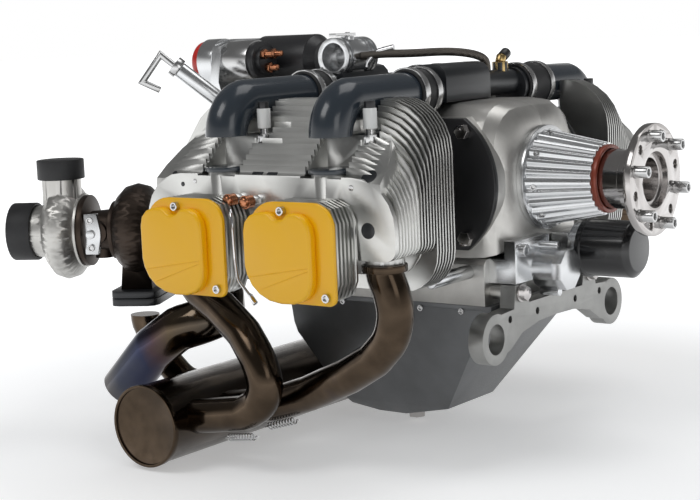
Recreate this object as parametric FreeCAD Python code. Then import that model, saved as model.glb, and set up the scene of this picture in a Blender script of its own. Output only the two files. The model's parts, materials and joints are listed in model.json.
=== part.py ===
import FreeCAD, Part
import math
import os

# Air-cooled flat-four aircraft engine with a turbocharger, in millimetres.
# The origin is the centre of the propeller flange's front face. +X runs forward along the
# crankshaft, +Z is up, and the two cylinder banks lie on -Y and +Y as mirror images.

# ---- Driving dimensions -------------------------------------------------------------------

# Propeller flange and shaft
flange_radius = 62.5
flange_thickness = 9.0
lug_circle_diameter = 101.6
lug_count = 6
lug_radius = 6.5
lug_length = 16.0
lug_bore_radius = 3.6
lightening_hole_radius = 5.0
pilot_radius = 31.0
pilot_depth = 8.0
shaft_radius = 33.5
shaft_bore_radius = 24.0
shaft_bore_depth = 46.0

# Nose housing
nose_front_x = -60.0
nose_rear_x = -134.0
nose_front_radius = 41.0
nose_rear_radius = 55.0
nose_flute_depth = 3.6
nose_flute_count = 26
nose_flange_radius = 60.0
nose_flange_thickness = 8.0
seal_width = 6.0
seal_radius = 38.5

# Crankcase
case_front_x = -142.0
case_rear_x = -500.0
case_top_z = 90.0
case_deck_y = 94.0
case_shoulder_z = 74.0
case_sill_y = 100.0
case_sill_z = -84.0
case_bottom_z = -137.0
case_foot_front_x = -163.0
case_shoulder_radius = 40.0
shoulder_count = 5
pad_margin = 1.0
pad_depth = 16.0
bearing_radius = 30.0

# Cylinders: the two of a bank are mirror images about the plane between them
bank_mid_x = -322.0
cylinder_half_pitch = 86.0
barrel_flange_radius = 90.0
barrel_flange_thickness = 8.0
barrel_flange_height = 74.0
barrel_root_radius = 57.0
barrel_fin_radius = 70.0
barrel_fin_count = 7
barrel_side_count = 24
nut_offset = 55.0
nut_rise = 60.0
nut_across_flats = 15.0
nut_height = 10.0

# Cylinder heads: a stack of fins, tall near the barrel and stepping down outwards
head_inner_y = 176.0
head_outer_y = 287.0
head_top_z = 103.0
head_bottom_z = -104.0
head_floor_z = -60.0
step_start_y = 210.0
lower_fin_end_y = 214.0
fin_thickness = 2.2
fin_count = 19
inner_fin_radius = 58.0
outer_fin_radius = 80.0
low_fin_radius = 44.0
fin_corner_count = 6
core_inset = 16.0
plate_thickness = 6.0

# Push-rod tubes
pushrod_z = -98.5
pushrod_radius = 8.0

# Rocker boxes and their covers
rocker_offset = 12.0
rocker_half_width = 52.0
rocker_top_z = 4.0
rocker_bottom_z = -102.0
rocker_depth = 39.0
rocker_corner = 22.0
rocker_fin_count = 6
rocker_fin_depth = 5.0
cover_flange_thickness = 5.0
cover_dome_height = 11.0
cover_screw_radius = 4.5
cover_screw_height = 3.5

# Intake: the far pipes stop sooner than the near ones, and a long hose meets them
intake_front_x = -243.0
intake_rear_x = -388.0
intake_pipe_radius = 23.5
intake_port_y = 266.0
intake_seat_z = 28.0
near_run_z = 104.0
far_run_z = 100.0
far_arm_z = 106.0
far_arm_radius = 15.5
intake_bend_radius = 48.0
near_pipe_end_y = 114.0
far_pipe_end_y = 150.0
notch_clearance = 3.5
rubber_wall = 3.0
rubber_grip = 14.0
clamp_width = 9.0
clamp_thickness = 1.6
manifold_near_y = -80.0
manifold_far_y = 14.0
manifold_top_z = 134.0
manifold_half_width = 25.0
spigot_length = 24.0
spine_top_z = 120.0

# Spark plugs, beside the intake pipes
plug_offset = 33.0
plug_y = 240.0
plug_well_radius = 11.0
plug_seat_z = 57.0

# Exhaust
header_radius = 20.0
header_port_y = 262.0
header_port_x = -183.0
header_port_z = -66.0
collector_radius = 46.0
collector_near_y = -332.0
collector_far_y = 290.0
collector_x = -474.0
collector_z = -258.0
tail_radius = 27.0
tail_wall = 2.0
riser_radius = 18.0

# Turbocharger: its axis runs from the turbine back and outwards to the compressor
turbo_x = -609.0
turbo_y = -185.0
turbo_z = -57.0
turbo_yaw = 207.0
turbine_radius = 57.0
turbine_half_width = 26.0
turbine_bore_radius = 24.0
foot_depth = 71.0
foot_plate_thickness = 18.0
centre_radius = 30.0
compressor_station = 92.0
compressor_radius = 60.0
compressor_half_width = 23.0
inlet_bore_radius = 25.0
inlet_end_station = 142.0
rotor_shaft_radius = 5.0
wheel_clearance = 0.6
blade_count = 9

# Sump
sump_flange_thickness = 6.0
sump_front_x = -157.0
sump_rear_x = -445.0
sump_bottom_z = -291.0
sump_half_width = 99.0
drain_x = -330.0

# Mount beam
beam_x = -137.5
beam_thickness = 19.0
beam_eye_y = 133.9
beam_eye_z = -165.6
beam_eye_radius = 28.5
beam_bore_radius = 17.0
ear_y = 80.0
ear_z = -122.0
standoff_radius = 9.0

# Oil pump and filter
pump_bottom_z = -111.0

# Rear housing and starter
rear_housing_radius = 98.0
rear_housing_depth = 58.0
rear_wall = 8.0
flywheel_clearance = 2.0
flywheel_width = 14.0
solenoid_y = -50.0
solenoid_z = 143.0
solenoid_radius = 26.0
motor_y = 16.0
motor_z = 140.0
motor_radius = 33.0

# Throttle
throttle_x = -380.0
throttle_y = -46.0
throttle_z = 145.0
throttle_bore = 17.0
throttle_wall = 4.0
throttle_length = 60.0
throttle_rib = 2.0
throttle_boss_height = 3.0
throttle_boss_radius = 8.0
spindle_radius = 3.0

# Dipstick
dipstick_radius = 2.0
dipstick_tube_radius = 10.0
dipstick_tube_bore = 6.0
dipstick_depth = 60.0

# Fits
fit_gap = 0.3
shaft_gap = 0.05


# ---- Geometry helpers ---------------------------------------------------------------------

X_AXIS = FreeCAD.Vector(1, 0, 0)
Y_AXIS = FreeCAD.Vector(0, 1, 0)
Z_AXIS = FreeCAD.Vector(0, 0, 1)
NODES = {}


def vec(x, y, z):
    return FreeCAD.Vector(x, y, z)


def box(x0, x1, y0, y1, z0, z1):
    """Block between opposite corners given in any order."""
    low = vec(min(x0, x1), min(y0, y1), min(z0, z1))
    return Part.makeBox(abs(x1 - x0), abs(y1 - y0), abs(z1 - z0), low)


def rod(start, end, radius):
    """Round bar from one point to another."""
    run = end - start
    return Part.makeCylinder(radius, run.Length, start, run)


def ring(start, end, outer, inner):
    """Round tube from one point to another."""
    return rod(start, end, outer).cut(rod(start, end, inner))


def cone(start, end, start_radius, end_radius):
    run = end - start
    return Part.makeCone(start_radius, end_radius, run.Length, start, run)


def join(shapes):
    """Fuse a list of touching solids into one."""
    body = shapes[0]
    if len(shapes) > 1:
        body = body.multiFuse(shapes[1:])
    return body.removeSplitter()


def cut(body, tools):
    for tool in tools:
        body = body.cut(tool)
    return body


def wire(points):
    return Part.makePolygon(points + [points[0]])


def prism(points, run):
    """Solid swept from a flat polygon along a vector."""
    return Part.Face(wire(points)).extrude(run)


def polygon_prism(start, end, radius, sides, turn=0.0):
    """Regular prism about the line between two points."""
    run = end - start
    turner = FreeCAD.Rotation(Z_AXIS, run)
    corners = []
    for i in range(sides):
        angle = math.radians(turn) + 2 * math.pi * i / sides
        corners.append(start + turner.multVec(vec(radius * math.cos(angle), radius * math.sin(angle), 0)))
    return prism(corners, run)


def hexagon(start, end, across_flats):
    return polygon_prism(start, end, across_flats / math.sqrt(3), 6)


def rounded_corner(centre_u, centre_v, radius, start_angle, end_angle, flats):
    """Points of a corner arc in a plane, from one angle to another in degrees."""
    points = []
    for i in range(flats + 1):
        angle = math.radians(start_angle + (end_angle - start_angle) * i / flats)
        points.append((centre_u + radius * math.cos(angle), centre_v + radius * math.sin(angle)))
    return points


def rounded_box_points(u0, u1, v0, v1, radii, flats):
    """Outline of a box with its corners cut as arcs: radii run from (u1, v1) anticlockwise."""
    r1, r2, r3, r4 = radii
    points = rounded_corner(u1 - r1, v1 - r1, r1, 0, 90, flats)
    points += rounded_corner(u0 + r2, v1 - r2, r2, 90, 180, flats)
    points += rounded_corner(u0 + r3, v0 + r3, r3, 180, 270, flats)
    points += rounded_corner(u1 - r4, v0 + r4, r4, 270, 360, flats)
    return points


def in_xz(points, y):
    return [vec(u, y, v) for u, v in points]


def in_yz(points, x):
    return [vec(x, u, v) for u, v in points]


def in_xy(points, z):
    return [vec(u, v, z) for u, v in points]


def facet(points):
    """Flat faces through three or four points: one if they lie in a plane, or else two triangles."""
    try:
        return [Part.Face(wire(points))]
    except Part.OCCError:
        return [Part.Face(wire(points[:3])), Part.Face(wire([points[0], points[2], points[3]]))]


def loft(sections):
    """Solid of flat faces through polygons with equal corner counts."""
    faces = [Part.Face(wire(sections[0])), Part.Face(wire(sections[-1]))]
    for near, far in zip(sections, sections[1:]):
        for i in range(len(near)):
            j = (i + 1) % len(near)
            faces += facet([near[i], near[j], far[j], far[i]])
    body = Part.makeSolid(Part.makeShell(faces))
    if body.Volume < 0:
        body.reverse()
    return body


def bend_points(corners, radius, gores):
    """Replace each inner corner of a route by the joints of a mitred bend of that radius."""
    route = [corners[0]]
    for i in range(1, len(corners) - 1):
        before = (corners[i - 1] - corners[i]).normalize()
        after = (corners[i + 1] - corners[i]).normalize()
        turn = math.pi - before.getAngle(after)
        reach = radius * math.tan(turn / 2)
        inward = (before + after).normalize()
        centre = corners[i] + inward * (radius / math.cos(turn / 2))
        outward = corners[i] + before * reach - centre
        plane_normal = before.cross(after)
        joint_radius = radius / math.cos(turn / 2 / gores)
        for k in range(gores):
            angle = -math.degrees(turn) * (k + 0.5) / gores
            spoke = FreeCAD.Rotation(plane_normal, angle).multVec(outward)
            route.append(centre + spoke.normalize() * joint_radius)
    route.append(corners[-1])
    return route


def half_space(point, normal, size):
    """A large block lying on the far side of a plane."""
    turner = FreeCAD.Rotation(Z_AXIS, normal)
    block = Part.makeBox(size, size, size, vec(-size / 2, -size / 2, 0))
    block.Placement = FreeCAD.Placement(point, turner)
    return block


def pipe(corners, radius, bend_radius=0.0, gores=3):
    """Solid round pipe of mitred runs along a route."""
    route = bend_points(corners, bend_radius, gores) if bend_radius else corners
    runs = []
    reach = 2.0 * radius
    for i in range(len(route) - 1):
        start = route[i]
        end = route[i + 1]
        along = (end - start).normalize()
        first = i == 0
        last = i == len(route) - 2
        run_start = start if first else start - along * reach
        run_end = end if last else end + along * reach
        bar = rod(run_start, run_end, radius)
        if not first:
            back = (along + (start - route[i - 1]).normalize()).normalize()
            bar = bar.cut(half_space(start, back * -1, 8 * radius + 40))
        if not last:
            ahead = (along + (route[i + 2] - end).normalize()).normalize()
            bar = bar.cut(half_space(end, ahead, 8 * radius + 40))
        runs.append(bar)
    return join(runs)


def mirror_bank(shape):
    """The same piece on the other bank."""
    return shape.mirror(vec(0, 0, 0), Y_AXIS)


def mirror_pair(shape):
    """The same piece on the other cylinder of a bank."""
    return shape.mirror(vec(bank_mid_x, 0, 0), X_AXIS)


def four_of(shape):
    """A front near piece with its three mirror images, numbered near front, near rear, far front, far rear."""
    rear = mirror_pair(shape)
    return [shape, rear, mirror_bank(shape), mirror_bank(rear)]


def keep(name, shape):
    NODES[name] = shape


def keep_all(name, shapes):
    for i, shape in enumerate(shapes):
        keep(name + "_" + str(i + 1), shape)


def group(shapes):
    return Part.makeCompound(shapes)


front_x = bank_mid_x + cylinder_half_pitch
rocker_x = front_x - rocker_offset


# ---- Crankshaft and propeller flange --------------------------------------------------------

def lug_centres(radius, start_angle):
    centres = []
    for i in range(lug_count):
        angle = math.radians(start_angle + 360.0 * i / lug_count)
        centres.append((radius * math.cos(angle), radius * math.sin(angle)))
    return centres


def propeller_shaft():
    """Flange, hub and the shaft that runs back through the crankcase to the flywheel."""
    tail_x = case_rear_x - 8.0
    hub_x = -30.0
    body = join([
        rod(vec(-flange_thickness, 0, 0), vec(0, 0, 0), flange_radius),
        rod(vec(hub_x, 0, 0), vec(-flange_thickness, 0, 0), shaft_radius + 2.5),
        rod(vec(nose_rear_x, 0, 0), vec(hub_x, 0, 0), shaft_radius),
        rod(vec(tail_x, 0, 0), vec(nose_rear_x, 0, 0), bearing_radius),
    ])
    tools = [
        rod(vec(-pilot_depth, 0, 0), vec(1, 0, 0), pilot_radius),
        rod(vec(-shaft_bore_depth, 0, 0), vec(0, 0, 0), shaft_bore_radius),
    ]
    lug_reach = lug_circle_diameter / 2
    for y, z in lug_centres(lug_reach, 45):
        tools.append(rod(vec(-flange_thickness - 1, y, z), vec(1, y, z), lug_radius))
    for y, z in lug_centres(lug_reach, 75):
        tools.append(rod(vec(-flange_thickness - 1, y, z), vec(1, y, z), lightening_hole_radius))
    return cut(body, tools)


def drive_lugs():
    lugs = []
    for y, z in lug_centres(lug_circle_diameter / 2, 45):
        lugs.append(ring(vec(-flange_thickness, y, z), vec(lug_length, y, z), lug_radius, lug_bore_radius))
    return group(lugs)


def flywheel():
    """Ring-gear wheel on the rear end of the shaft."""
    tip_radius = rear_housing_radius - rear_wall - flywheel_clearance
    rear_x = case_rear_x - 8.0 - flywheel_width
    teeth = 60
    points = []
    for i in range(teeth):
        for step, radius in ((0.0, tip_radius - 4.0), (0.5, tip_radius)):
            angle = 2 * math.pi * (i + step) / teeth
            points.append((radius * math.cos(angle), radius * math.sin(angle)))
    return prism(in_yz(points, rear_x), vec(flywheel_width, 0, 0))


# ---- Nose and crankcase ----------------------------------------------------------------------

# Fractions of a flute's pitch, and of its depth there
flute_profile = [(0.0, 0.0), (0.3, 0.0), (0.42, 0.55), (0.58, 1.0), (0.72, 1.0), (0.88, 0.55)]


def flute_section(x, radius):
    points = []
    depth = nose_flute_depth * radius / nose_rear_radius
    for i in range(nose_flute_count):
        for step, sunk in flute_profile:
            angle = 2 * math.pi * (i + step) / nose_flute_count
            size = radius - depth * sunk
            points.append((size * math.cos(angle), size * math.sin(angle)))
    return in_yz(points, x)


def nose_housing():
    """Fluted cone that carries the front bearing."""
    cone_body = loft([flute_section(nose_rear_x, nose_rear_radius), flute_section(nose_front_x, nose_front_radius)])
    flange = rod(vec(nose_rear_x - nose_flange_thickness, 0, 0), vec(nose_rear_x, 0, 0), nose_flange_radius)
    body = join([cone_body, flange])
    bore = rod(vec(nose_rear_x, 0, 0), vec(nose_front_x + 1, 0, 0), shaft_radius + shaft_gap)
    rear_bore = rod(vec(nose_rear_x - nose_flange_thickness - 1, 0, 0), vec(nose_rear_x, 0, 0), bearing_radius + shaft_gap)
    return cut(body, [bore, rear_bore])


def nose_seal():
    return ring(vec(nose_front_x, 0, 0), vec(nose_front_x + seal_width, 0, 0), seal_radius, shaft_radius + fit_gap)


# Distance behind the front face, how far the outline is drawn in there, and its shoulder radius
case_front_rounding = [(48.0, 0.0, 40.0), (25.0, 2.0, 44.0), (12.0, 7.0, 50.0), (4.0, 16.0, 54.0), (0.0, 28.0, 55.0)]


def case_section(x, shrink, corner):
    """Half section of the crankcase's upper body with a rounded shoulder."""
    deck = case_deck_y - shrink
    top = case_top_z - shrink
    points = [(0, top)]
    points += rounded_corner(-deck + corner, top - 1 - corner, corner, 90, 180, shoulder_count)
    points += [(-deck, case_sill_z + shrink * 0.6), (0, case_sill_z + shrink * 0.6)]
    return in_yz(points, x)


def deck_pad():
    """Raised pad on the deck for a barrel's flange."""
    reach = barrel_flange_radius + pad_margin
    height = barrel_flange_height + pad_margin
    disc = rod(vec(front_x, -case_deck_y + pad_depth, 0), vec(front_x, -case_deck_y, 0), reach)
    return disc.common(box(bank_mid_x, front_x + reach, 0, -case_deck_y, -height, height))


def crankcase_half():
    """The near half of the case, split on the crankshaft's plane, with its stand-off for the mount beam."""
    sections = [case_section(case_rear_x, 0, case_shoulder_radius)]
    for behind, shrink, corner in case_front_rounding:
        sections.append(case_section(case_front_x - behind, shrink, corner))
    foot = prism(in_yz([
        (0, case_sill_z), (-case_deck_y, case_sill_z), (-case_sill_y, case_sill_z - 6),
        (-case_sill_y, case_bottom_z), (0, case_bottom_z),
    ], case_rear_x), vec(case_foot_front_x - case_rear_x, 0, 0))
    beam_rear_x = beam_x - beam_thickness / 2
    standoff = rod(vec(case_foot_front_x, -ear_y, ear_z), vec(beam_rear_x, -ear_y, ear_z), standoff_radius)
    tunnel = rod(vec(case_rear_x - 1, 0, 0), vec(case_front_x + 1, 0, 0), bearing_radius + shaft_gap)
    return join([loft(sections), deck_pad(), mirror_pair(deck_pad()), foot, standoff]).cut(tunnel)


dipstick_foot = vec(case_rear_x - 4, -case_deck_y - 9, case_shoulder_z + 1)
dipstick_top = dipstick_foot + vec(-56, -47, 62)
dipstick_line = (dipstick_top - dipstick_foot).normalize()


def crankcase_near():
    """The near half with the slanting boss and channel for the dipstick."""
    boss = rod(dipstick_foot - dipstick_line * 18, dipstick_foot, dipstick_tube_radius + 0.5)
    channel = rod(dipstick_foot - dipstick_line * (dipstick_depth + 4), dipstick_foot + dipstick_line, dipstick_tube_bore)
    return join([crankcase_half(), boss]).cut(channel)


# ---- Cylinders -----------------------------------------------------------------------------------

def barrel_ring(y, radius):
    points = []
    for i in range(barrel_side_count):
        angle = 2 * math.pi * i / barrel_side_count
        points.append((front_x + radius * math.cos(angle), radius * math.sin(angle)))
    return in_xz(points, y)


def barrel():
    """Base flange and a finned sleeve up to the head."""
    flange_y = -case_deck_y - barrel_flange_thickness
    disc = rod(vec(front_x, -case_deck_y, 0), vec(front_x, flange_y, 0), barrel_flange_radius)
    trim = box(front_x - cylinder_half_pitch, front_x + barrel_flange_radius, -case_deck_y, flange_y,
               -barrel_flange_height, barrel_flange_height)
    stations = [barrel_ring(flange_y, barrel_root_radius)]
    pitch = (head_inner_y + flange_y) / barrel_fin_count
    for i in range(barrel_fin_count):
        start = flange_y - i * pitch
        stations.append(barrel_ring(start - pitch * 0.5, barrel_fin_radius))
        stations.append(barrel_ring(start - pitch, barrel_root_radius))
    return join([disc.common(trim), loft(stations)])


def cylinder_nuts():
    """The four nuts that hold each barrel's flange to the crankcase."""
    nuts = []
    flange_y = -case_deck_y - barrel_flange_thickness
    for dx in (-nut_offset, nut_offset):
        for dz in (-nut_rise, nut_rise):
            nut = hexagon(vec(front_x + dx, flange_y, dz), vec(front_x + dx, flange_y - nut_height, dz),
                          nut_across_flats)
            nuts += four_of(nut)
    return nuts


# ---- Heads ---------------------------------------------------------------------------------------

def fin_top(y):
    return min(head_top_z, head_top_z - (y - step_start_y))


def fin_radius(y):
    """The free upper corner opens out from fin to fin."""
    share = (y - head_inner_y) / (head_outer_y - head_inner_y)
    return inner_fin_radius + (outer_fin_radius - inner_fin_radius) * share


def fin_plate(y, thickness):
    """One fin: square at the joint between the heads, rounded on its free side."""
    top = fin_top(y + thickness)
    free_x = front_x + cylinder_half_pitch
    low = y + thickness <= lower_fin_end_y
    bottom = head_bottom_z if low else head_floor_z
    r1 = min(fin_radius(y), (top - bottom) * 0.62)
    r2 = low_fin_radius if low else 14.0
    points = rounded_corner(free_x - r1, top - r1, r1, 0, 90, fin_corner_count)
    points += [(bank_mid_x, top), (bank_mid_x, bottom)]
    points += rounded_corner(free_x - r2, bottom + r2, r2, 270, 360, fin_corner_count)
    return prism(in_xz(points, -y), vec(0, -thickness, 0))


def head_core():
    free_x = front_x + cylinder_half_pitch - core_inset
    inner_low = head_bottom_z + core_inset
    outer_low = head_floor_z + 7.0
    core_top = head_top_z - core_inset
    profile = [
        (-head_inner_y, inner_low), (-lower_fin_end_y, inner_low), (-lower_fin_end_y, outer_low),
        (-head_outer_y, outer_low), (-head_outer_y, fin_top(head_outer_y) - 6.0),
        (-step_start_y, core_top), (-head_inner_y, core_top),
    ]
    side = prism(in_yz(profile, bank_mid_x), vec(free_x - bank_mid_x, 0, 0))
    radius = outer_fin_radius - core_inset / 2
    outline = rounded_corner(free_x - radius, core_top - radius, radius, 0, 90, fin_corner_count)
    outline += [(bank_mid_x, core_top), (bank_mid_x, inner_low)]
    outline += rounded_corner(free_x - low_fin_radius, inner_low + low_fin_radius, low_fin_radius, 270, 360, fin_corner_count)
    front_view = prism(in_xz(outline, -head_inner_y), vec(0, head_inner_y - head_outer_y, 0))
    return side.common(front_view)


def rocker_outline(inset, y, flats):
    radii = [rocker_corner - inset * 0.5] * 4
    points = rounded_box_points(rocker_x - rocker_half_width + inset, rocker_x + rocker_half_width - inset,
                                rocker_bottom_z + inset, rocker_top_z - inset, radii, flats)
    return in_xz(points, y)


def rocker_box():
    core = prism(rocker_outline(rocker_fin_depth, -head_outer_y, 2), vec(0, -rocker_depth, 0))
    pieces = [core]
    pitch = rocker_depth / rocker_fin_count
    for i in range(rocker_fin_count):
        y = -head_outer_y - pitch * (i + 1)
        pieces.append(prism(rocker_outline(0, y, 2), vec(0, pitch * 0.45, 0)))
    return pieces


def intake_notch(pipe_x):
    """Room cut through the fins for the intake pipe: a run towards the case and a well at the port."""
    reach = intake_pipe_radius + notch_clearance
    bend_y = intake_port_y - reach - 1
    run_z = near_run_z - intake_bend_radius + 10
    run = box(pipe_x - reach, pipe_x + reach, -head_inner_y + 1, -bend_y, run_z, head_top_z + 10)
    well = box(pipe_x - reach, pipe_x + reach, -bend_y, -head_outer_y - 1, intake_seat_z - 4, head_top_z + 10)
    return [run, well]


def head(pipe_x, plug_x):
    pieces = [head_core()]
    pitch = (head_outer_y - head_inner_y - plate_thickness) / fin_count
    for i in range(fin_count):
        pieces.append(fin_plate(head_inner_y + i * pitch, fin_thickness))
    pieces.append(fin_plate(head_outer_y - plate_thickness, plate_thickness))
    pieces += rocker_box()
    plug_well = rod(vec(plug_x, -plug_y, plug_seat_z), vec(plug_x, -plug_y, head_top_z), plug_well_radius)
    body = cut(join(pieces), intake_notch(pipe_x) + [plug_well])
    seat = rod(vec(pipe_x, -intake_port_y, head_floor_z + 20), vec(pipe_x, -intake_port_y, intake_seat_z), intake_pipe_radius - 1)
    port = rod(vec(header_port_x, -header_port_y, header_port_z), vec(header_port_x, -header_port_y, head_floor_z + 12), header_radius + 2)
    return join([body, seat, port])


def heads():
    """Near front, near rear, far front and far rear: the intake ports break the symmetry of a bank."""
    mirrored_x = 2 * bank_mid_x - intake_rear_x
    front = head(intake_front_x, intake_front_x + plug_offset)
    rear = mirror_pair(head(mirrored_x, mirrored_x - plug_offset))
    return [front, rear, mirror_bank(front), mirror_bank(rear)]


# ---- Covers --------------------------------------------------------------------------------------

cover_plane_y = -head_outer_y - rocker_depth


def cover_outline(inset, y, drop):
    """Cover outline: one lower corner is swept in, the other holds a screw."""
    x0 = rocker_x - rocker_half_width + inset
    x1 = rocker_x + rocker_half_width - inset - drop
    z0 = rocker_bottom_z + inset + drop * 0.4
    z1 = rocker_top_z - inset - drop * 0.3
    radii = (26.0 + drop, 30.0, 44.0, 13.0 + drop * 1.6)
    return in_xz(rounded_box_points(x0, x1, z0, z1, radii, 4), y)


def rocker_cover():
    flange = prism(cover_outline(0, cover_plane_y, 0), vec(0, -cover_flange_thickness, 0))
    dome = loft([
        cover_outline(2, cover_plane_y - cover_flange_thickness, 6),
        cover_outline(5, cover_plane_y - cover_flange_thickness - cover_dome_height * 0.7, 7),
        cover_outline(10, cover_plane_y - cover_flange_thickness - cover_dome_height, 9),
    ])
    return join([flange, dome])


def rocker_covers():
    """Both covers of a bank face the same way, so the rear one is moved and not mirrored."""
    front = rocker_cover()
    rear = front.copy()
    rear.translate(vec(2 * (bank_mid_x - rocker_x), 0, 0))
    return [front, rear, mirror_bank(front), mirror_bank(rear)]


# ---- Intake ------------------------------------------------------------------------------------

def intake_pipe(pipe_x, end_y, run_z):
    """Elbow that stands on the head's port and turns towards the case."""
    corners = [
        vec(pipe_x, -intake_port_y, intake_seat_z),
        vec(pipe_x, -intake_port_y, run_z),
        vec(pipe_x, -end_y, run_z),
    ]
    body = pipe(corners, intake_pipe_radius, intake_bend_radius, 6)
    seat = vec(pipe_x, -intake_port_y, intake_seat_z)
    return join([body, rod(seat, seat + vec(0, 0, 5), intake_pipe_radius + 2)])


hose_start_y = 106.0
fitting_y = 78.0
fitting_z = 130.0


def manifold_arm(pipe_x):
    """Arm across the case with a spigot for a hose at each end."""
    outline = rounded_box_points(pipe_x - manifold_half_width, pipe_x + manifold_half_width,
                                 case_top_z, manifold_top_z, (16, 16, 3, 3), 3)
    arm = prism(in_xz(outline, manifold_near_y), vec(0, manifold_far_y - manifold_near_y, 0))
    near_end = vec(pipe_x, manifold_near_y - spigot_length, near_run_z)
    far_end = vec(pipe_x, hose_start_y + rubber_grip, far_run_z)
    near = rod(near_end, vec(pipe_x, manifold_near_y, near_run_z), intake_pipe_radius)
    neck = rod(vec(pipe_x, manifold_far_y - 4, far_arm_z), vec(pipe_x, hose_start_y, far_arm_z), far_arm_radius)
    far = rod(vec(pipe_x, hose_start_y - 8, far_run_z), far_end, intake_pipe_radius)
    return [arm, near, neck, far]


def throttle_point(offset):
    """A point on the throttle's axis."""
    return vec(throttle_x, throttle_y + offset, throttle_z)


def intake_manifold():
    """Casting on top of the case: a spine with one arm across for each pair of cylinders."""
    mid_y = (manifold_near_y + manifold_far_y) / 2
    spine = prism(in_yz(rounded_box_points(mid_y - 22, mid_y + 22, case_top_z, spine_top_z, (10, 10, 1, 1), 2), intake_rear_x),
                  vec(intake_front_x - intake_rear_x, 0, 0))
    half = throttle_length / 2
    outer = throttle_bore + throttle_wall
    trough = rod(throttle_point(-half - 5), throttle_point(half + 1), outer + throttle_rib + fit_gap)
    fitting = rod(vec(intake_front_x, fitting_y, far_arm_z), vec(intake_front_x, fitting_y, fitting_z), 9)
    body = join([spine, fitting] + manifold_arm(intake_front_x) + manifold_arm(intake_rear_x)).cut(trough)
    saddle = box(throttle_x - 14, throttle_x + 14, throttle_y - 12, throttle_y + 12, case_top_z, throttle_z)
    seat = rod(throttle_point(-half), throttle_point(half), outer + fit_gap)
    return join([body, saddle.cut(seat)])


def hoses():
    """Near end, far end and height of the rubber sleeves on the near and the far side."""
    near = (-near_pipe_end_y - rubber_grip, manifold_near_y - spigot_length + rubber_grip, near_run_z)
    far = (hose_start_y, far_pipe_end_y + rubber_grip, far_run_z)
    return near, far


def rubber_sleeves():
    sleeves = []
    inner = intake_pipe_radius + fit_gap
    for pipe_x in (intake_front_x, intake_rear_x):
        for near_y, far_y, z in hoses():
            sleeves.append(ring(vec(pipe_x, near_y, z), vec(pipe_x, far_y, z), inner + rubber_wall, inner))
    return group(sleeves)


def hose_clamps():
    """A band with a worm-screw housing near each sleeve's end."""
    clamps = []
    inner = intake_pipe_radius + rubber_wall + 2 * fit_gap
    outer = inner + clamp_thickness
    for pipe_x in (intake_front_x, intake_rear_x):
        for near_y, far_y, z in hoses():
            for y in (near_y + 2, far_y - 2 - clamp_width):
                band = ring(vec(pipe_x, y, z), vec(pipe_x, y + clamp_width, z), outer, inner)
                screw = box(pipe_x - outer - 5, pipe_x - inner - 0.8, y + 1, y + clamp_width - 1, z - 7, z + 7)
                clamps.append(join([band, screw]))
    return group(clamps)


def throttle_body():
    """Ribbed round body whose bore holds the butterfly."""
    half = throttle_length / 2
    outer = throttle_bore + throttle_wall
    pieces = [rod(throttle_point(-half), throttle_point(half), outer)]
    for offset in (-half, -half + 9, half - 14, half - 5):
        pieces.append(rod(throttle_point(offset), throttle_point(offset + 5), outer + throttle_rib))
    boss_top = throttle_point(0) + vec(0, 0, outer + throttle_boss_height)
    pieces.append(rod(throttle_point(0), boss_top, throttle_boss_radius))
    bore = rod(throttle_point(-half - 1), throttle_point(half + 1), throttle_bore)
    spindle_hole = rod(throttle_point(0) - vec(0, 0, throttle_bore + 2), boss_top + Z_AXIS, spindle_radius + shaft_gap)
    return cut(join(pieces), [bore, spindle_hole])


def throttle_valve():
    """Butterfly disc, upright spindle and the lever on top of it."""
    boss_top = throttle_z + throttle_bore + throttle_wall + throttle_boss_height
    disc = rod(throttle_point(-1), throttle_point(1), throttle_bore - fit_gap)
    spindle = rod(throttle_point(0) - vec(0, 0, throttle_bore + 1), vec(throttle_x, throttle_y, boss_top + 5), spindle_radius)
    arm = prism(in_xy([
        (throttle_x - 7, throttle_y + 7), (throttle_x - 5, throttle_y - 30), (throttle_x + 5, throttle_y - 30),
        (throttle_x + 7, throttle_y + 7),
    ], boss_top + 0.5), vec(0, 0, 3.5))
    return join([disc, spindle, arm])


def vacuum_hose():
    """Sleeved hose from the throttle body over the front arm of the manifold to its far neck."""
    start = throttle_point(0) + vec(throttle_bore + throttle_wall + fit_gap, 0, 0)
    end = vec(intake_front_x, 47, far_arm_z + far_arm_radius + fit_gap)
    corners = [
        start, start + vec(8, 0, 0), start + vec(24, 2, 2), vec(-300, -30, 146), vec(-264, -6, 147), vec(-248, 22, 143),
        end + vec(0, -6, 15), end + vec(0, 0, 8), end,
    ]
    return pipe(corners, 5.0)


def spark_plugs():
    plugs = []
    for pipe_x in (intake_front_x, intake_rear_x):
        x = pipe_x + plug_offset
        seat = vec(x, -plug_y, plug_seat_z)
        plug = join([
            hexagon(seat, seat + vec(0, 0, 10), 14),
            rod(seat, seat + vec(0, 0, 30), 5),
        ])
        plugs += [plug, mirror_bank(plug)]
    return group(plugs)


def plug_caps():
    caps = []
    for pipe_x in (intake_front_x, intake_rear_x):
        seat = vec(pipe_x + plug_offset, -plug_y, plug_seat_z + 16)
        cap = ring(seat, seat + vec(0, 0, 16), 7.5, 5 + fit_gap)
        lid = join([cap, rod(seat + vec(0, 0, 14 + 2), seat + vec(0, 0, 22), 7.5)])
        caps += [lid, mirror_bank(lid)]
    return group(caps)


def pushrod_tubes():
    """Two tubes under each barrel, from the case to the head."""
    tubes = []
    for x in (-184, -262):
        tube = rod(vec(x, -case_sill_y, pushrod_z), vec(x, -head_inner_y, pushrod_z), pushrod_radius)
        tubes += four_of(tube)
    return group(tubes)


# ---- Exhaust -----------------------------------------------------------------------------------

def header_flange(port_x, port_y):
    return rod(vec(port_x, port_y, header_port_z - 8), vec(port_x, port_y, header_port_z), header_radius + 4.5)


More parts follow.
